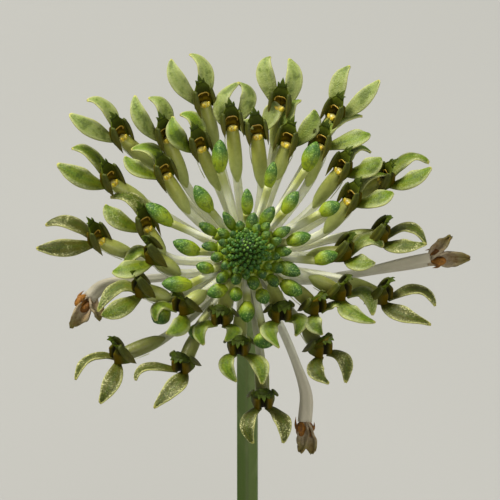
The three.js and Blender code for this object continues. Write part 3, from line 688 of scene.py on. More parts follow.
def pedicel_look():
    look = Look("stalk_skin", 0.48)
    along, across, tint = look.read("along", "across", "tint")
    look.start(look.span(along, 0.6, 0.88), (0.93, 0.93, 0.85), (0.60, 0.62, 0.27))
    look.lay(look.span(tint, 0.0, 1.0, 0.0, 0.3), 0.80, 0.82, 0.62)
    # Painted shade: a tint from 1 to 2 darkens the stalks of the flowers that stand in the shade of the head.
    look.lay(look.span(tint, 1.0, 2.0, 0.0, 0.6), 0.27, 0.27, 0.09)
    rib = look.ribs(across, 6)
    look.lay(look.span(rib, 0.0, 0.5, 0.3, 0.0), 0.52, 0.56, 0.34)
    cloud = look.noise(900, 3, 0.6)
    look.lay(look.span(cloud, 0.45, 0.75, 0.0, 0.3), 0.66, 0.67, 0.52)
    look.bump(look.noise(3000, 3, 0.6), 0.00003)
    look.flesh(0.3, 0.0008)
    return look.finish()


def bud_look(name, tip, foot, speck):
    look = Look(name, 0.55, 0.35)
    along, across = look.read("along", "across")
    look.start(look.span(along, 0.25, 0.75), foot, tip)
    cloud = look.noise(1500, 4, 0.6)
    look.lay(look.span(cloud, 0.45, 0.68, 0.0, 0.5), 0.44, 0.57, 0.09)
    dark = look.noise(1900, 4, 0.6)
    look.lay(look.span(dark, 0.5, 0.66, 0.0, 0.55), 0.13, 0.25, 0.03)
    seam = look.ribs(across, 3)
    look.lay(look.times(look.span(seam, 0.16, 0.0), 0.4), 0.16, 0.30, 0.08)
    dots = look.span(look.noise(6500, 2, 0.6), 0.56, 0.64)
    dots = look.times(dots, look.span(along, 0.25, 0.6, 0.1, speck))
    look.lay(dots, 0.66, 0.76, 0.40)
    look.bump(look.noise(5200, 2), 0.00006)
    look.flesh(0.22, 0.0007)
    return look.finish()


def short_look():
    look = Look("short_stalk_skin", 0.45)
    along, = look.read("along")
    look.start(look.span(along, 0.0, 1.0), (0.60, 0.64, 0.30), (0.48, 0.55, 0.08))
    look.bump(look.noise(2500, 3), 0.00003)
    look.flesh(0.3, 0.0008)
    return look.finish()


def scale_look():
    look = Look("scale_skin", 0.6, 0.3)
    along, = look.read("along")
    look.start(look.span(along, 0.3, 1.0), (0.11, 0.22, 0.03), (0.28, 0.44, 0.10))
    look.bump(look.noise(4000, 2), 0.00003)
    return look.finish()


def spent_look():
    look = Look("withered_skin", 0.7, 0.3)
    along, = look.read("along")
    cloud = look.noise(900, 4, 0.6)
    look.start(look.span(along, 0.25, 0.95), (0.64, 0.58, 0.48), (0.44, 0.40, 0.19))
    look.lay(look.span(cloud, 0.45, 0.65, 0.0, 0.6), 0.46, 0.35, 0.17)
    fine = look.noise(3400, 4, 0.6)
    look.lay(look.span(fine, 0.5, 0.7, 0.0, 0.5), 0.30, 0.21, 0.11)
    look.bump(look.plus(cloud, look.times(fine, 0.3)), 0.00015)
    look.flesh(0.15, 0.0005)
    return look.finish()


def spent_core_look():
    look = Look("withered_lip", 0.6, 0.3)
    cloud = look.noise(1200, 4, 0.65)
    look.start(look.span(cloud, 0.35, 0.65), (0.36, 0.22, 0.05), (0.60, 0.40, 0.11))
    fine = look.noise(3800, 4, 0.6)
    look.lay(look.span(fine, 0.52, 0.7, 0.0, 0.5), 0.25, 0.14, 0.05)
    look.bump(cloud, 0.0003)
    look.flesh(0.15, 0.0005, 1.0, 0.6, 0.3)
    return look.finish()


def spent_stalk_look():
    look = Look("withered_stalk", 0.6, 0.3)
    along, = look.read("along")
    look.start(look.span(along, 0.2, 0.95), (0.88, 0.88, 0.81), (0.72, 0.69, 0.60))
    cloud = look.noise(600, 4, 0.6)
    look.lay(look.span(cloud, 0.45, 0.7, 0.0, 0.5), 0.68, 0.66, 0.57)
    look.bump(look.noise(2500, 3), 0.00006)
    return look.finish()


def stem_look():
    look = Look("stem_skin", 0.45)
    along, across = look.read("along", "across")
    look.start(look.span(along, 0.1, 1.0), (0.32, 0.39, 0.16), (0.36, 0.41, 0.20))
    rib = look.ribs(across, 6)
    look.lay(look.span(rib, 0.0, 0.7, 0.5, 0.0), 0.24, 0.33, 0.12)
    streak = look.noise(500, 4, 0.6, (1, 1, 0.06))
    look.lay(look.span(streak, 0.45, 0.75, 0.0, 0.4), 0.54, 0.58, 0.38)
    look.bump(streak, 0.0001)
    look.flesh(0.12, 0.001)
    return look.finish()


def bulb_look():
    look = Look("bulb_skin", 0.42)
    along, across = look.read("along", "across")
    streak = look.ribs(across, 26)
    look.start(look.span(along, 0.3, 0.95), (0.42, 0.52, 0.22), (0.55, 0.64, 0.34))
    look.lay(look.span(streak, 0.0, 0.5, 0.35, 0.0), 0.30, 0.38, 0.13)
    cloud = look.noise(300, 4, 0.6, (1, 1, 0.4))
    look.lay(look.span(cloud, 0.5, 0.72, 0.0, 0.6), 0.58, 0.50, 0.32)
    look.bump(streak, 0.0001)
    look.flesh(0.1, 0.001)
    return look.finish()


def husk_look():
    look = Look("papery_sheath", 0.75, 0.25)
    streak = look.noise(900, 4, 0.65, (1, 1, 0.08))
    look.start(look.span(streak, 0.3, 0.7), (0.45, 0.34, 0.22), (0.72, 0.62, 0.46))
    cloud = look.noise(250, 3)
    look.lay(look.span(cloud, 0.5, 0.7, 0.0, 0.6), 0.30, 0.22, 0.14)
    look.bump(streak, 0.00015)
    return look.finish()


def leaf_look():
    look = Look("leaf_skin", 0.36, 0.5)
    along, across, face = look.read("along", "across", "face")
    off = look.math("ABSOLUTE", across)
    look.start(look.span(along, 0.1, 0.6), (0.50, 0.62, 0.28), (0.22, 0.42, 0.10))
    cloud = look.noise(55, 4, 0.6)
    look.lay(look.span(cloud, 0.4, 0.7, 0.0, 0.6), 0.30, 0.52, 0.14)
    fine = look.noise(700, 3, 0.6)
    look.lay(look.span(fine, 0.45, 0.75, 0.0, 0.3), 0.16, 0.34, 0.07)
    veins = look.ribs(across, 11)
    look.lay(look.span(veins, 0.0, 0.22, 0.3, 0.0), 0.40, 0.58, 0.24)
    midrib = look.span(off, 0.035, 0.008)
    look.lay(look.times(midrib, 0.6), 0.52, 0.66, 0.32)
    under = look.blend(look.span(veins, 0.0, 0.25, 0.4, 0.0), hue(0.42, 0.57, 0.26), hue(0.58, 0.70, 0.42))
    look.skin = look.blend(face, under, look.skin)
    look.rough(look.span(fine, 0.3, 0.7, 0.30, 0.46))
    hairs = look.ribs(across, 70)
    relief = look.plus(look.times(hairs, 0.25), look.times(veins, 0.8))
    look.bump(look.plus(relief, look.times(fine, 0.5)), 0.0002)
    look.flesh(0.08, 0.0012)
    return look.finish()


def pot_look():
    look = Look("terracotta", 0.82, 0.25)
    cloud = look.noise(38, 5, 0.6)
    look.start(look.span(cloud, 0.35, 0.68), (0.70, 0.38, 0.25), (0.78, 0.49, 0.34))
    rings = look.noise(60, 3, 0.5, (0.08, 0.08, 6.0))
    look.lay(look.span(rings, 0.45, 0.7, 0.0, 0.35), 0.62, 0.32, 0.20)
    bloom = look.noise(24, 5, 0.65, (1, 1, 0.6))
    look.lay(look.span(bloom, 0.56, 0.72, 0.0, 0.45), 0.86, 0.76, 0.66)
    fine = look.noise(1100, 3, 0.6)
    look.lay(look.span(fine, 0.55, 0.75, 0.0, 0.4), 0.52, 0.26, 0.16)
    split = look.node("SeparateXYZ", {"Vector": look.place})
    height = look.plus(split.outputs[2], look.times(cloud, 0.02))
    look.lay(look.times(look.span(height, 0.03, 0.012), 0.5), 0.50, 0.28, 0.19)
    grain = look.plus(look.times(fine, 0.4), look.times(rings, 0.8))
    look.bump(grain, 0.0004, 0.6)
    return look.finish()


def soil_look():
    look = Look("potting_mix", 0.92, 0.2)
    lumps = look.noise(420, 5, 0.7)
    look.start(look.span(lumps, 0.3, 0.7), (0.14, 0.09, 0.06), (0.32, 0.22, 0.15))
    fine = look.noise(1800, 3, 0.6)
    look.lay(look.span(fine, 0.6, 0.75, 0.0, 0.6), 0.42, 0.31, 0.22)
    look.bump(look.plus(lumps, look.times(fine, 0.3)), 0.0012)
    return look.finish()


def bark_look():
    look = Look("bark_chip", 0.85, 0.2)
    tint, = look.read("tint")
    grain = look.noise(420, 5, 0.65, (1, 0.35, 1))
    look.start(look.span(tint, 0.0, 1.0), (0.24, 0.15, 0.09), (0.50, 0.34, 0.22))
    look.lay(look.span(grain, 0.4, 0.65, 0.0, 0.7), 0.16, 0.10, 0.07)
    look.bump(grain, 0.0006)
    return look.finish()


def perlite_look():
    look = Look("pumice_bit", 0.9, 0.2)
    grain = look.noise(900, 4, 0.6)
    look.start(look.span(grain, 0.3, 0.7), (0.66, 0.63, 0.58), (0.88, 0.86, 0.82))
    look.bump(grain, 0.0004)
    return look.finish()


# The head

def root_on_axis(depth, toward):
    """Where a stalk that grows toward a point leaves the axis."""
    root = rachis_point(depth)
    aim = toward - root
    aim = (aim - AXIS * aim.dot(AXIS)).normalized()
    return root + aim * ROOT_RADIUS


# Widths and tapers as (place, share) stops, from the foot to the tip
SEPAL_WIDTH = [(0, 0.4), (0.14, 0.65), (0.36, 0.96), (0.55, 1.0), (0.75, 0.76), (0.88, 0.47), (0.96, 0.28), (1.0, 0.08)]
BACK_WIDTH = [(0, 0.84), (0.2, 0.95), (0.5, 1.0), (0.78, 0.84), (0.92, 0.52), (1.0, 0.12)]
LIP_HALF = [(0, 0.88), (0.12, 1.02), (0.3, 1.04), (0.5, 1.0), (0.7, 0.94), (0.86, 0.82), (1.0, 0.56)]
TOOTH_WIDTH = [(0, 1.15), (0.3, 1.0), (0.65, 0.6), (1, 0.06)]
HORN_TAPER = [(0, 0.6), (0.28, 1.0), (0.55, 0.98), (0.8, 0.6), (1.0, 0.04)]
BUD_WIDTH = [(0, 0.45), (0.12, 0.72), (0.35, 1.0), (0.6, 0.98), (0.8, 0.74), (0.93, 0.42), (1.0, 0.08)]
# The height share at which a lip's margin begins to roll over
MARGIN = 0.74


def petal_rows(root, bend, tip, face, width, half, cup, grid, roll=0.0, hook=0.0, ruffle=0.0, seed=0.0):
    """Rows of points of a petal on a bent line. cup lifts its margins toward the way it faces, roll turns it
    about its line and hook drops its tip."""
    rows = []
    for t in shares(grid[0]):
        centre = bent(root, bend, tip, t)
        way = ((bend - root) * (1 - t) + (tip - bend) * t).normalized()
        normal, side = square_to(way, face)
        normal, side = around(normal, side, roll * t), around(side, -normal, roll * t)
        reach = through(width, t) * half
        row = []
        for share in shares(grid[1]):
            s = 2 * share - 1
            lift = cup * reach * s * s - hook * t ** 4
            wave = ruffle * s * s * noise.noise(Vector((t * 4.0, s * 1.5, seed)))
            row.append(centre + side * (reach * s) + normal * (lift + wave))
        rows.append(row)
    return rows


def lip_sheets(place, open_, curl, fold, roll):
    """The hooded lip's outer and inner sheet, and marks that are 1 on its two pouches and 2 on a rolled margin."""
    deep, lean = mix(0.7, 0.95, fold), mix(0.6, 0.36, fold)
    droop, top = 0.3 + 0.5 * roll, 2.42 + 0.08 * roll
    outer, inner, marks = [], [], []
    for v in shares(LIP_GRID[0]):
        over, under, spots = [], [], []
        for share in shares(LIP_GRID[1]):
            s = 2 * share - 1
            off = abs(s)
            width = through(LIP_HALF, v) * open_ * (1 + 0.5 * roll * smooth(v, MARGIN, 1.0))
            side = math.exp(-(abs(off - 0.58) / 0.38) ** 2.8)
            pouch = side * smooth(v, -0.08, 0.12) * (1 - smooth(v, 0.54, MARGIN))
            pit = (1 - smooth(off, 0.55, 0.72)) * (1 - smooth(v + 0.16 * off ** 3, 0.48, 0.57))
            groove = math.exp(-(s / 0.24) ** 2) * (1 - smooth(v, 0.62, 0.78))
            notch = math.exp(-((off - 0.5) / 0.2) ** 2)
            bend = 2.9 * max(v - MARGIN, 0) / (1 - MARGIN)
            ring = 0.32 * (1 - 0.4 * off * off) * roll
            height = 0.55 + top - droop * smooth(off, 0.25, 1.0)
            up = height * mix(v, min(v, MARGIN), roll) - 0.55 + ring * math.sin(bend)
            up += 0.4 * fold * (1 - off) * smooth(v, 0.6, 1.0) - 0.12 * notch * smooth(v, 0.8, 1.0)
            base = mix(0.5, 0.58, v) - deep * off ** 2.5 * (1 - lean * v) + ring * (1 - math.cos(bend))
            base += curl * (1 - roll) * smooth(v, 0.5, 1.1) ** 1.5
            skin = 0.05 + 0.1 * (1 - off * off)
            back = base + skin + 0.6 * pouch - 0.1 * groove
            front = min(base - skin + 0.3 * pit, back - 0.06)
            over.append(place(width * s, back, up))
            under.append(place(width * s, front, up))
            spots.append(pouch + 2 * roll * smooth(v, MARGIN, 0.8))
        outer.append(over)
        inner.append(under)
        marks.append(spots)
    return outer, inner, marks


def add_horn(piece, points, half, flat, near):
    """A pointed horn along three points, as a flattened tube that tapers to its tip."""
    piece.tube([bent(*points, t) for t in shares(HORN_RINGS[0])], lambda t, angle: half * through(HORN_TAPER, t)
               * math.hypot(math.cos(angle), flat * math.sin(angle)) + 0.012, HORN_RINGS[1], near=near)


def add_egg(piece, centre, axes, fine):
    def spot(t, angle):
        flat = math.sin(math.pi * clamp(t, 0.03, 0.97))
        return (centre + axes[0] * (flat * math.cos(angle)) + axes[1] * (flat * math.sin(angle))
                - axes[2] * math.cos(math.pi * t))

    piece.rings(shares(fine[0]), fine[1], spot)


class Flower:
    """An open flower: where it stands, which way its parts point, and how its lip folds and rolls."""

    def __init__(self, number, at, left, right, back):
        self.number, self.at, self.tips = number, at, (left, right)
        self.pick = random.Random(FLOWER_SEED + number)
        self.reach = math.hypot(*at)
        self.depth = 0.4 - 0.27 * self.reach
        root_depth = -5.5 - 0.62 * (self.reach - 6.3)
        back_depth = mix(root_depth, self.depth, (math.hypot(*back) - 1) / (self.reach - 1)) - 0.2
        self.column = head_point(at, self.depth)
        self.knee = head_point(back, back_depth)
        self.root = root_on_axis(root_depth, self.knee)
        self.grow = (head_point(at, self.depth - 0.5) - self.knee).normalized()
        self.above = square_to(self.grow, FRONT)[0]
        away = self.away = Vector((self.grow.x, self.grow.y, 0)).normalized()
        self.wide = away.cross(UP).normalized()
        self.near = max(-away.y, 0)
        low = max(smooth(-away.y, 0.0, 0.3), smooth(-at[1], 0.2, 0.7))
        self.fold, self.roll = away.x ** 2 * low, smooth(self.near, 0.5, 0.95)
        twist = away.x ** 2 * smooth(away.y, -0.3, 0.1) * mix(0.6 if away.x < 0 else 0.2, -0.45, low)
        self.facing = (away + Vector((0, twist, 0))).normalized()
        self.across = self.facing.cross(UP).normalized()
        self.big = 1 + 0.17 * self.near
        self.shaded = smooth(-at[1], 3, 8) * smooth(self.reach, 8, 12)
        self.hinge = self.place(0, 0.4, -0.3)

    def place(self, across, forward, up):
        """A point by its way from the column."""
        return self.column + (self.across * across + self.facing * forward + UP * up) * self.big

    def shade(self, tint):
        """The tint, nearer to 2 where the flower stands in the shade of the head."""
        return tint + (2 - tint) * self.shaded


def add_pedicel(piece, f):
    tint, turn = f.pick.random(), f.pick.uniform(-1.5, 1.5)
    piece.stalk([f.root, f.knee, f.hinge], PEDICEL_RINGS, lambda t, angle: (
        PEDICEL_RADIUS + 0.11 * smooth(t, 0.58, 0.88)) * (1 + 0.09 * math.cos(6 * angle + turn * 3 * t)), f.shade(tint))


def add_sepals(piece, f):
    """The two lateral sepals, from beside the lip to where the photograph shows their tips."""
    pick, near, high = f.pick, f.near, f.at[1]
    spread = (f.grow + f.away).normalized()
    # The flowers high on the head get a tint below 0, which makes their sepals paler.
    high_on_head = smooth(high, 9, 12)
    for i, (tip_place, other) in enumerate((f.tips, f.tips[::-1])):
        apart = head_point(tip_place, f.depth) - head_point(other, f.depth)
        side = 1 if apart.dot(f.wide) >= 0 else -1
        sideways = f.wide * side
        ahead = math.dist(tip_place, f.at) * 0.9 * spread.dot(FRONT)
        tip = head_point(tip_place, f.depth + ahead + 1.3 * sideways.dot(FRONT))
        foot = f.place(0.34 * side, 0.66, -0.5)
        face = UP * 0.96 + sideways * pick.uniform(0.18, 0.36)
        bow = mix(2.3, 1.25, clamp(math.dist(*f.tips) / 3.2)) * pick.uniform(0.9, 1.1) * (1 + 0.25 * near)
        bend = foot.lerp(tip, 0.46) + UP * pick.uniform(0.95, 1.35) + sideways * bow
        half = (0.88 if high > 11 else 1.0) * pick.uniform(0.92, 1.05) * (1 - 0.1 * near)
        rows = petal_rows(foot, bend, tip, face, SEPAL_WIDTH, half, pick.uniform(-0.1, 0.22), SEPAL_GRID,
                          pick.uniform(-0.3, 0.3) * (1 + near), pick.uniform(0.25, 0.65), 0.2, f.number * 3.1 + i)
        tint = (clamp((f.reach - 6) / 9) * 0.75 + 0.25 * pick.random()) * (1 - 0.55 * smooth(high, 2, 7))
        piece.slab(rows, lambda v, s: SEPAL_THICK * (1 - 0.72 * s * s) * (1 - 0.35 * v) + 0.04,
                   tint * (1 - high_on_head) - high_on_head)


def add_back(piece, f):
    """The dorsal sepal, folded back along the pedicel."""
    tip = f.knee + f.above * 0.72
    root = f.column.lerp(f.knee, 0.03) + f.above * 0.02 - f.away * 0.1
    rows = petal_rows(root, root.lerp(tip, 0.5) + f.above * 0.4, tip, f.above, BACK_WIDTH,
                      0.68 * f.pick.uniform(0.95, 1.05), -0.6, BACK_GRID, f.pick.uniform(-0.12, 0.12), 0.0, 0.07,
                      f.number * 1.7)
    piece.slab(rows, lambda v, s: BACK_THICK * (1 - 0.6 * s * s) + 0.05, f.shade(f.pick.random()))


def add_teeth(piece, f):
    """The three teeth of the lip: a large one in the middle and a small one on each side."""
    near, fold, roll = f.near, f.fold, f.roll
    apex, lift = f.pick.uniform(-0.1, 0.1), 0.34 * fold
    middle = (1.5 + 0.26 * near - 0.15 * fold, 2.86 - 0.42 * near - 0.76 * roll, 0.24 + 0.12 * fold)
    small = (1.2 + 0.3 * roll, 2.42 - 0.66 * roll, 0.12 + 0.07 * roll)
    for w, (out, rise, half) in ((0, middle), (-0.38, small), (0.38, small)):
        rows = petal_rows(f.place(w * 0.9, 0.84 + 0.36 * roll, 2.18 - 0.32 * roll + lift * (1 - abs(w))),
                          f.place(w, 0.6 + 0.36 * out + 0.3 * roll, 2.62 - 0.86 * roll + lift),
                          f.place(w * 1.25 + apex, out + 0.1 * roll, rise + lift),
                          f.facing * (2 * roll - 1) + UP + FRONT * 1.8 * fold, TOOTH_WIDTH, half, 0.3, TOOTH_GRID)
        piece.slab(rows, lambda v, s: TOOTH_THICK * (1 - 0.6 * s * s) * (1 - 0.4 * v), f.pick.random())


def add_sides(horns, pollinia, threads, f):
    """What a flower has on its left and its right: a horn of the lip, a lump of pollen and a thread-like petal."""
    pick, near, fold = f.pick, f.near, f.fold
    for s in (-1, 1):
        swing = pick.uniform(-0.15, 0.15)
        drop = -0.25 - 0.6 * max(abs(f.away.x), near) + swing
        add_horn(horns, [f.place(s * mix(0.84, 0.58, fold), mix(0.3, 0.7, fold), 1.85 - 0.5 * near + 0.7 * fold),
                         f.place(s * (1.04 + 0.1 * near), 0.04, 0.7 - 0.1 * near + 0.2 * fold),
                         f.place(s * (0.94 + 0.4 * near), -1.1 + 0.2 * near + swing, drop)],
                 0.38 - 0.06 * near + 0.12 * fold, 0.2 + 0.2 * near,
                 f.facing + UP * 0.3 + f.across * s * (0.1 + 0.3 * near))
        long_ = (UP * 0.9 + f.across * s * 0.4 + f.facing * 0.3).normalized() * 0.3
        add_egg(pollinia, f.place(s * 0.24, -0.37, 0.16), [f.across * 0.23, f.facing * 0.15, long_], POLLEN_RINGS)
        path = [f.hinge + f.wide * s * wide - f.grow * low - f.above * under for wide, low, under in (
            (0.3, 0.0, 0.0), (0.72, 0.9, 0.05), (0.74 + swing, 2.0, 0.2), (0.6 + 2 * swing, 3.1, 0.1))]
        threads.stalk(path, THREAD_RINGS, lambda t, angle: THREAD_RADIUS * (1 - 0.5 * t), pick.random())


def add_arch(piece, f):
    """The pale arch inside the hood, from one side over the column to the other."""
    half = [(-0.6, 0.3, 0.62), (-0.62, 0.34, 0.9), (-0.42, 0.42, 1.14)]
    path = half + [(0, 0.45, 1.18)] + [(-w, forward, up) for w, forward, up in half[::-1]]
    piece.stalk([f.place(*spot) for spot in path], ARCH_RINGS,
                lambda t, angle: ARCH_RADIUS - 0.045 * abs(2 * t - 1) ** 4, f.pick.random())


FLOWER_SKINS = {
    "pedicels": pedicel_look, "lateral_sepals": sepal_look, "dorsal_sepals": back_look, "lips": lip_look,
    "lip_horns": horn_look, "lip_teeth": tooth_look, "lip_arches": arch_look, "columns": column_look,
    "pollinia": pollinia_look, "thread_petals": pedicel_look,
}


def build_flowers():
    pieces = {name: Piece(name) for name in FLOWER_SKINS}
    for number, row in enumerate(FLOWERS):
        f = Flower(number, *row)
        add_pedicel(pieces["pedicels"], f)
        add_sepals(pieces["lateral_sepals"], f)
        add_back(pieces["dorsal_sepals"], f)
        pieces["lips"].shell(*lip_sheets(f.place, f.pick.uniform(0.94, 1.04), f.pick.uniform(0.45, 0.6),
                                         f.fold, f.roll))
        add_teeth(pieces["lip_teeth"], f)
        add_sides(pieces["lip_horns"], pieces["pollinia"], pieces["thread_petals"], f)
        add_arch(pieces["lip_arches"], f)
        add_egg(pieces["columns"], f.place(0, -0.12, 0.0), [f.across * 0.6, f.facing * 0.38, UP * 0.34], COLUMN_RINGS)
    for name, skin in FLOWER_SKINS.items():
        pieces[name].make(skin(), "flower_head", "flower")


def add_bud(piece, low, high, wide, pick, fine=BUD_RINGS, lobes=3):
    """A bud as a closed form with soft lobes, from its stalk to its tip."""
    way = high - low
    u, v = square_to(way.normalized(), FRONT)
    phase = pick.uniform(0, math.tau)

    def spot(t, angle):
        lobe = 1 + 0.07 * math.cos(lobes * angle + phase) * math.sin(math.pi * t)
        return low + way * t + around(u, v, angle) * (0.5 * wide * through(BUD_WIDTH, t) * lobe)

    piece.rings(shares(fine[0]), fine[1], spot, pick.random, phase / math.tau)


def add_stalked_buds(stalks, buds, low_stalks, low_buds):
    for number, (base, tip, wide, *rest) in enumerate(BUDS):
        pick = random.Random(BUD_SEED + number)
        lift, root_depth = rest or (0, None)
        reach = math.hypot(*base)
        depth = 0.9 - 0.16 * reach + lift
        foot, top = head_point(base, depth - 0.5), head_point(tip, depth)
        root = root_on_axis(-0.8 - 0.33 * reach if root_depth is None else root_depth, foot)
        stalk, bud = (stalks, buds) if root_depth is None else (low_stalks, low_buds)
        stalk.stalk([root, root.lerp(foot, 0.5) - FRONT * 0.25, foot.lerp(top, 0.1)], BUD_STALK_RINGS,
                    lambda t, angle: (BUD_STALK_RADIUS + 0.1 * t) * (1 + 0.08 * math.cos(6 * angle)), pick.random())
        add_bud(bud, foot, top, wide, pick)


def add_ring_buds(buds, stalks):
    for number, (x, rise, wide, long_) in enumerate(RING_BUDS):
        reach = math.hypot(x, rise)
        middle = head_point((x, rise), through(RING_DEPTH, reach))
        heart = rachis_point((middle - HEAD).dot(AXIS) - 0.5 - 0.25 * reach)
        out = (middle - heart + AXIS * 0.25).normalized()
        low, high = middle - out * long_ * 0.78, middle + out * long_ * 0.5
        foot = heart + (low - heart).normalized()
        stalks.stalk([foot, foot.lerp(low, 0.5), low + out * 0.15], RING_STALK_RINGS,
                     lambda t, angle: RING_STALK_RADIUS + 0.3 * wide * t, 0.9)
        add_bud(buds, low, high, wide * 1.14, random.Random(RING_SEED + number))


def add_tiny_buds(tiny, scales, apex):
    """The dome of the crown: buds along a sunflower spiral, each with a scale below it."""
    u, v = square_to(AXIS, RISE)
    for i in range(TINY_BUDS):
        pick = random.Random(TINY_SEED + i)
        part = (i + 0.5) / TINY_BUDS
        out = around(u, v, i * math.pi * (3 - math.sqrt(5)))
        height = CROWN_HIGH - 0.32 - 2.9 * part ** 1.3
        way = (out * (0.15 + 0.95 * part) + AXIS * (1.05 - 0.5 * part)).normalized()
        size = 0.105 + 0.18 * part ** 0.8
        seat = rachis_point(height) + out * (1.78 * part ** 0.54) - way * size - RISE * (0.5 * part)
        add_bud(apex if i < APEX_BUDS else tiny, seat, seat + way * size * 2.9, size * 2.2, pick, TINY_RINGS, 2)
        down = (out - AXIS * 0.3).normalized()
        tip = seat + way * size * 3.0 + down * size * 0.9
        root = seat + down * size * 0.8
        rows = petal_rows(root, root.lerp(tip, 0.5) + down * size * 0.35, tip, down, SEPAL_WIDTH, size * 0.62,
                          -0.2, SCALE_GRID)
        scales.slab(rows, lambda v, s: SCALE_THICK, pick.random())


def build_buds():
    stalks, buds, low_stalks, low_buds = map(Piece, ("bud_stalks", "stalked_buds", "low_bud_stalks", "low_buds"))
    add_stalked_buds(stalks, buds, low_stalks, low_buds)
    core = Piece("crown_core")
    core.tube([rachis_point(mix(CROWN_LOW, CROWN_HIGH - 0.5, t)) for t in shares(CORE_RINGS[0])],
              lambda t, angle: mix(CROWN_RADIUS, CROWN_RADIUS * 0.95, t) * (1 - smooth(t, 0.6, 1.0) * 0.55)
              * (1 + 0.04 * math.cos(9 * angle)), CORE_RINGS[1])
    ring_buds, short = Piece("ring_buds"), Piece("ring_bud_stalks")
    add_ring_buds(ring_buds, short)
    tiny, scales, apex = Piece("tiny_buds"), Piece("tiny_scales"), Piece("apex_buds")
    add_tiny_buds(tiny, scales, apex)
    skin = bud_look("bud_skin", (0.20, 0.36, 0.08), (0.54, 0.60, 0.07), 0.5)
    for piece, material in (
            (stalks, pedicel_look()), (short, short_look()), (buds, skin),
            (ring_buds, bud_look("ring_bud_skin", (0.13, 0.28, 0.05), (0.44, 0.52, 0.03), 0.35)),
            (core, bud_look("core_skin", (0.10, 0.20, 0.04), (0.40, 0.48, 0.08), 0.2)), (scales, scale_look()),
            (tiny, bud_look("tiny_bud_skin", (0.15, 0.33, 0.07), (0.04, 0.10, 0.01), 0.2)),
            (apex, bud_look("apex_skin", (0.46, 0.62, 0.26), (0.16, 0.30, 0.05), 0.5))):
        piece.make(material, "bud_crown", "bud")
    low_stalks.make(pedicel_look(), "flower_head", "flower")
    low_buds.make(skin, "flower_head", "flower")


def build_axis():
    axis = Piece("rachis")
    axis.tube([rachis_point(mix(RACHIS_LOW, RACHIS_HIGH, t)) for t in shares(RACHIS_RINGS[0])],
              lambda t, angle: (RACHIS_RADIUS + 0.38 * t) * (1 + 0.05 * math.cos(6 * angle)), RACHIS_RINGS[1])
    axis.make(stem_look(), "flower_head", "flower")


def build_spent():
    stalks, lobes, cores = Piece("spent_stalks"), Piece("spent_sepals"), Piece("spent_lips")
    for number, (way, tips) in enumerate(SPENT):
        pick = random.Random(SPENT_SEED + number)
        points = [head_point(pair, depth) for pair, depth in zip(way, SPENT_DEPTHS)]
        root = root_on_axis(RACHIS_LOW + 1.2, points[0])
        stalks.stalk([root] + points, SPENT_RINGS, lambda t, angle: (
            SPENT_STALK_RADIUS + 0.26 * smooth(t, 0.6, 0.95)) * (1 + 0.12 * math.cos(5 * angle + 4 * t)))
        end, ahead = points[-1], (points[-1] - points[-2]).normalized()
        for i, tip_place in enumerate(tips):
            tip = head_point(tip_place, -8.2 + 0.5 * i)
            aside = (tip - end).normalized().cross(FRONT)
            bend = end.lerp(tip, 0.5) + FRONT * 0.5 + aside * pick.uniform(-0.3, 0.3)
            rows = petal_rows(end - ahead * 0.25, bend, tip, FRONT + aside * pick.uniform(-0.6, 0.6), SEPAL_WIDTH,
                              0.78 if i == 0 else 0.6, 0.85, SPENT_GRID, pick.uniform(-0.5, 0.5), 0.25, 0.7,
                              number * 5 + i)
            lobes.slab(rows, lambda v, s: SPENT_THICK + 0.08 * abs(s), pick.random())
        heart = end + ahead * 0.75 + FRONT * 0.15
        for k in (-1, 1):
            side = ahead.cross(FRONT) * k
            add_egg(cores, heart + side * 0.42 + FRONT * 0.1 * k, [side * 0.5, FRONT * 0.5, ahead * 0.8],
                    SPENT_LIP_RINGS)
            add_horn(cores, [heart + side * 0.4, heart + side * 1.05 + ahead * 0.3,
                             heart + side * 0.95 - ahead * pick.uniform(0.6, 1.3)], 0.24, 0.5, FRONT)
    stalks.make(spent_stalk_look(), "flower_head", "flower")
    lobes.make(spent_look(), "flower_head", "flower")
    cores.make(spent_core_look(), "flower_head", "flower")


# Stem, bulb and leaves

def build_stem():
    end = rachis_point(RACHIS_LOW - 0.45)
    p = [Vector((0, 0, BULB_TOP + GAP)), Vector((0, 0, STEM_STRAIGHT)), end - AXIS * STEM_ARCH, end]
    dense = [p[0] * (1 - t) ** 3 + p[1] * 3 * t * (1 - t) ** 2 + p[2] * 3 * t * t * (1 - t) + p[3] * t ** 3
             for t in shares(201)]
    stem = Piece("flower_stalk")
    stem.tube(spaced(dense, STEM_RINGS[0]), lambda t, angle: (STEM_RADIUS - 0.42 * t) * (
        0.9 + 0.1 * abs(math.cos(3 * angle + 0.4 * t)) ** 3), STEM_RINGS[1])
    stem.make(stem_look(), "flower_stem", "stem")


def build_bulb():
    places = shares(len(BULB))
    radii = [(place, r) for place, (r, z) in zip(places, BULB)]
    heights = [(place, z) for place, (r, z) in zip(places, BULB)]

    def spot(t, angle):
        rib = 1 - 0.035 * (0.5 + 0.5 * math.cos(9 * angle + 0.8 * math.sin(3 * t))) * smooth(t, 0.2, 0.5)
        return polar(max(through(radii, t), 0.05) * rib, angle, through(heights, t))

    bulb = Piece("bulb")
    bulb.rings(shares(BULB_RINGS[0]), BULB_RINGS[1], spot)
    bulb.make(bulb_look(), "pseudobulb", "stem")
    husk = Piece("bulb_husks")
    pick = random.Random(HUSK_SEED)
    for low, high, start, sweep in HUSKS:
        rows = []
        for t in shares(HUSK_GRID[0]):
            z = mix(low, high, t)
            radius = bulb_radius(z) + 0.35 + 0.25 * t
            row = []
            for s in shares(HUSK_GRID[1]):
                angle = start + sweep * (s - 0.5) * (1 - 0.75 * t ** 1.5)
                fray = 0.25 * noise.noise(Vector((angle * 2, z * 0.6, low)))
                row.append(polar(radius + fray, angle, z + 0.5 * fray + 0.4 * math.sin(9 * s)))
            rows.append(row)
        husk.slab(rows, lambda v, s: HUSK_THICK, pick.random())
    husk.make(husk_look(), "pseudobulb", "stem")


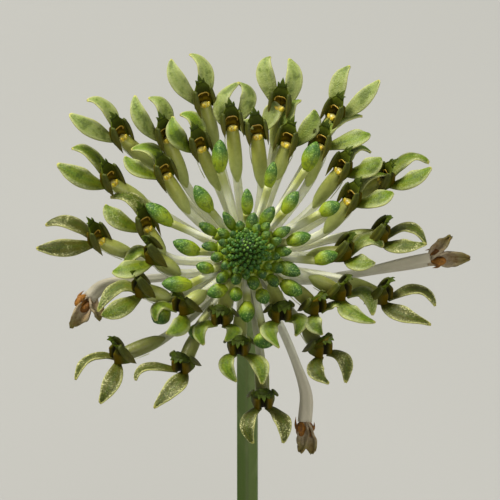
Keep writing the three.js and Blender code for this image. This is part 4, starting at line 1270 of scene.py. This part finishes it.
def bulb_radius(z):
    for (r0, z0), (r1, z1) in zip(BULB, BULB[1:]):
        if z0 <= z <= z1:
            return mix(r0, r1, (z - z0) / (z1 - z0))
    return BULB[-1][0]


def leaf_rows(turn, sheath, open_, lift, droop):
    """A leaf's sheath around the stem and its pleated blade, as one sheet of points."""
    out, side = polar(1, turn, 0), Vector((-math.sin(turn), math.cos(turn), 0))
    top = SHEATH_BOTTOM + open_
    dense = curve_points([out * (sheath + reach) + UP * z for reach, z in (
        (0, SHEATH_BOTTOM), (0, SHEATH_BOTTOM + open_ * 0.5), (0.2, top), (7, top + 13), (28, top + 13 + lift * 0.62),
        (55, top + 13 + lift), (82, top + 13 + lift - droop))], LEAF_STEPS)
    last = LEAF_STEPS - 1
    sheath_end = open_ / sum((b - a).length for a, b in zip(dense, dense[1:]))
    rows = []
    for share in shares(LEAF_GRID[0]):
        t = share ** 1.25 * 0.35 + share * 0.65
        k = min(int(t * last), last - 1)
        centre = dense[k].lerp(dense[k + 1], t * last - k)
        way = (dense[min(k + 2, last)] - dense[max(k - 1, 0)]).normalized()
        inward = way.cross(side).normalized()
        ease = smooth(t, sheath_end * 0.9, sheath_end + 0.2)
        blade = clamp((t - sheath_end) / (1 - sheath_end))
        shape = max(math.sin(math.pi * blade ** 0.86), 0) ** 0.8 * (1 - 0.25 * blade)
        width = mix(2 * sheath * 2.45, 0.8 + LEAF_WIDTH * 1.06 * shape, ease)
        bend = mix(1 / sheath, 0.018 + 0.03 * (1 - blade), ease)
        row = []
        for part in shares(LEAF_GRID[1]):
            s = (part - 0.5) * width
            edge = (2 * abs(s) / width) ** 2
            pleat = 0.9 * math.cos(4 * math.pi * part) + 0.16 * math.cos(22 * math.pi * part)
            wave = 1.1 * edge * math.sin(12 * blade + 1.7 * math.copysign(1, s))
            bumps = 0.35 * noise.noise(Vector((t * 9, part * 5, turn)))
            row.append(centre + side * (math.sin(bend * s) / bend)
                       + inward * ((1 - math.cos(bend * s)) / bend + ease * shape * (pleat + wave + bumps)))
        rows.append(row)
    return rows


def build_leaves():
    skin = leaf_look()
    for name, node, *shape in LEAVES:
        leaf = Piece(name)
        leaf.slab(leaf_rows(*shape), lambda v, s: LEAF_THICK * (1 - 0.35 * s * s) * (1 - 0.3 * v))
        leaf.make(skin, node, "leaf")


# Pot and soil

def pot_outer(z):
    slope = (POT_TOP_RADIUS - RIM_STEP - POT_BASE_RADIUS) / (POT_HEIGHT - RIM_HEIGHT)
    return POT_BASE_RADIUS + slope * z


def pot_inside(z):
    low = pot_outer(FLOOR) - POT_WALL
    high = POT_TOP_RADIUS - POT_WALL - 0.4
    return mix(low, high, (z - FLOOR) / (POT_HEIGHT - 1.4 - FLOOR))


def rounded(profile, cut, steps=4):
    """The profile with each inner corner turned into a short arc."""
    made = [profile[0]]
    for before, corner, after in zip(profile, profile[1:], profile[2:]):
        a, b, c = Vector(before), Vector(corner), Vector(after)
        reach = min(cut, (b - a).length * 0.45, (c - b).length * 0.45)
        start, end = b + (a - b).normalized() * reach, b + (c - b).normalized() * reach
        made += [tuple(bent(start, b, end, t)) for t in shares(steps + 1)]
    made.append(profile[-1])
    return made


def filled(profile, longest):
    """The profile with points added, so that no step is longer than this."""
    made = [profile[0]]
    for a, b in zip(profile, profile[1:]):
        steps = max(1, math.ceil(math.dist(a, b) / longest))
        made += [(mix(a[0], b[0], k / steps), mix(a[1], b[1], k / steps)) for k in range(1, steps + 1)]
    return made


def build_pot():
    foot = POT_HEIGHT - RIM_HEIGHT
    profile = [
        (0.0, 0), (POT_BASE_RADIUS, 0), (pot_outer(foot), foot), (pot_outer(foot) + RIM_STEP, foot + 0.4),
        (POT_TOP_RADIUS + 1, POT_HEIGHT), (POT_TOP_RADIUS - POT_WALL - 0.4, POT_HEIGHT),
        (pot_outer(FLOOR) - POT_WALL, FLOOR), (0.0, FLOOR),
    ]

    def wall(stop, angle):
        r, z = stop
        uneven = 0.12 * noise.noise(Vector((math.cos(angle) * 1.5, math.sin(angle) * 1.5, z * 0.05))) - 0.12
        return polar(max(r + uneven * smooth(z, 1.0, 4.0) * smooth(r, 5.0, 20.0), 0.02), angle, z)

    pot = Piece("clay_pot")
    pot.rings(filled(rounded(profile, POT_ROUNDING), POT_STEP), POT_SIDES, wall)
    obj = pot.make(pot_look(), "pot", "terracotta")
    drills = Piece("drain_drills")
    for k in range(DRAIN_HOLES):
        angle = math.pi / 2 + math.tau * k / DRAIN_HOLES
        drills.tube([polar(DRAIN_RING, angle, z) for z in (-5, FLOOR / 2, FLOOR + 5)],
                    lambda t, a: DRAIN_RADIUS, DRAIN_SIDES)
    cut(obj, drills)


def cut(obj, drills):
    """Takes the drills out of the object, for good."""
    tool = add_object("drill", drills.mesh())
    change = obj.modifiers.new("holes", "BOOLEAN")
    change.operation, change.object, change.solver = "DIFFERENCE", tool, "EXACT"
    bpy.context.view_layer.update()
    result = bpy.data.meshes.new_from_object(obj.evaluated_get(bpy.context.evaluated_depsgraph_get()))
    obj.modifiers.clear()
    obj.data = result
    bpy.data.objects.remove(tool)


def soil_height(x, y):
    r = math.hypot(x, y) / POT_TOP_RADIUS
    bumps = 0.9 * math.sin(x * 0.42 + 1.3) * math.cos(y * 0.37) + 0.7 * math.sin(x * 0.21 - y * 0.33)
    return SOIL_LEVEL + SOIL_MOUND * (1 - r * r) + bumps * min(1, 6 * (1 - r))


def soil_top(x, y):
    coarse = 0.7 * noise.noise(Vector((x * 0.35, y * 0.35, 3.0)))
    return soil_height(x, y) + coarse + 0.45 * noise.noise(Vector((x * 1.1, y * 1.1, 8.0))) - 0.25


def build_soil():
    rim, bottom = pot_inside(SOIL_LEVEL) - GAP, FLOOR + GAP
    # Radius and height of each ring. None is the height of the soil's surface.
    stops = [(0.05, bottom), (12, bottom), (pot_inside(bottom) - GAP, bottom), (pot_inside(38) - GAP, 38),
             (rim, SOIL_LEVEL - 1.5)]
    stops += [(max(rim * (1 - t), 0.05), None) for t in shares(SOIL_RINGS)]

    def spot(stop, angle):
        r, z = stop
        x, y = r * math.cos(angle), r * math.sin(angle)
        return Vector((x, y, soil_top(x, y) if z is None else z))

    soil = Piece("potting_soil")
    soil.rings(stops, SOIL_SIDES, spot)
    soil.make(soil_look(), "soil", "soil")

    chips, bits = Piece("bark_chips"), Piece("pumice_bits")
    pick = random.Random(SOIL_SEED)
    for k in range(CHIPS):
        r, angle = (rim - 3.2) * math.sqrt(pick.uniform(0.06, 1.0)), pick.uniform(0, math.tau)
        if r < BARE_RADIUS:
            continue
        size = pick.uniform(1.4, 4.2) if k % 3 else pick.uniform(0.8, 1.6)
        shape = (size, size * pick.uniform(0.45, 0.8), size * pick.uniform(0.22, 0.4))
        add_chip(chips, r, angle, shape, pick, 0.55)
    for k in range(BITS):
        r, angle = (rim - 2.2) * math.sqrt(pick.random()), pick.uniform(0, math.tau)
        if r < BARE_RADIUS:
            continue
        size = pick.uniform(0.6, 1.3)
        add_chip(bits, r, angle, (size, size * 0.85, size * 0.75), pick, 0.3)
    chips.make(bark_look(), "soil", "soil")
    bits.make(perlite_look(), "soil", "soil")


def add_chip(piece, r, angle, shape, pick, tilt):
    """One rough lump on the soil, from a ball squared off, stretched and dented."""
    x, y = r * math.cos(angle), r * math.sin(angle)
    turn = Matrix.Rotation(pick.uniform(0, math.tau), 3, "Z")
    for axis in "XY":
        turn = turn @ Matrix.Rotation(pick.uniform(-tilt, tilt), 3, axis)
    seed, tint = pick.uniform(0, 100), pick.random()
    centre = Vector((x, y, soil_top(x, y) + shape[2] * 0.35))

    def spot(t, lon):
        lat = math.pi * clamp(t, 0.02, 0.98)
        n = Vector((math.sin(lat) * math.cos(lon), math.sin(lat) * math.sin(lon), -math.cos(lat)))
        n = n / (0.2 + 0.8 * max(abs(n.x), abs(n.y), abs(n.z)))
        dents = 0.3 * noise.noise(n * 1.5 + Vector((seed, 0, 0)))
        n *= 1 + dents + 0.1 * noise.noise(n * 4.5 + Vector((0, seed, 0)))
        return centre + turn @ Vector((n.x * shape[0], n.y * shape[1], n.z * shape[2]))

    piece.rings(shares(CHIP_RINGS[0]), CHIP_RINGS[1], spot, tint)


build_axis()
build_flowers()
build_buds()
build_spent()
build_stem()
build_bulb()
build_leaves()
build_pot()
build_soil()

# Stage, light and camera

FRAME_WIDTH = 50
CAMERA_REACH = 400
SENSOR = 36
AIM = HEAD + ACROSS * 0.3 + RISE * -0.05
# Metres from here on: half the floor, and for each lamp its place, aim, size, power and colour
FLOOR_HALF = 6
LAMPS = {
    "key": ((-0.35, 0.25, 0.95), (0, -0.03, 0.25), 0.3, 11.0, (1.0, 0.98, 0.93)),
    "front": ((0.25, -0.75, 0.75), (0, 0, 0.2), 0.5, 2.6, (1.0, 0.99, 0.96)),
    "side": ((0.8, 0.1, 0.5), (0, 0, 0.2), 0.5, 1.8, (1.0, 1.0, 0.97)),
}
WORLD_COLOUR = (1.0, 1.0, 0.97, 1.0)
WORLD_STRENGTH = 0.3


def facing_to(way):
    """The turn that points a lamp or a camera this way."""
    return way.to_track_quat("-Z", "Y").to_euler()


floor_mesh = bpy.data.meshes.new("floor")
floor_mesh.from_pydata([(x * FLOOR_HALF, y * FLOOR_HALF, 0) for x, y in ((-1, -1), (1, -1), (1, 1), (-1, 1))], [],
                       [(0, 1, 2, 3)])
floor_look = Look("pale_floor", 0.7, 0.2)
floor_look.skin = floor_look.blend(floor_look.noise(9, 3, 0.5), (0.40, 0.40, 0.38, 1.0), (0.43, 0.43, 0.41, 1.0))
floor_mesh.materials.append(floor_look.finish())
add_object("floor", floor_mesh)

for name, (place, aim, size, power, colour) in LAMPS.items():
    data = bpy.data.lights.new(name, "AREA")
    data.shape = "DISK"
    data.size, data.energy, data.color = size, power, colour
    lamp = add_object(name, data)
    lamp.location = place
    lamp.rotation_euler = facing_to(Vector(aim) - Vector(place))

world = bpy.data.worlds.new("studio")
world.use_nodes = True
background = world.node_tree.nodes["Background"].inputs
background["Color"].default_value = WORLD_COLOUR
background["Strength"].default_value = WORLD_STRENGTH
bpy.context.scene.world = world
bpy.context.scene.view_settings.view_transform = "Standard"

lens = bpy.data.cameras.new("camera")
lens.sensor_width = SENSOR
lens.lens = SENSOR * CAMERA_REACH / FRAME_WIDTH
lens.clip_start, lens.clip_end = 0.01, 50
camera = add_object("camera", lens)
camera.location = (AIM + FRONT * CAMERA_REACH) * MM
camera.rotation_euler = facing_to(-FRONT)
bpy.context.scene.camera = camera
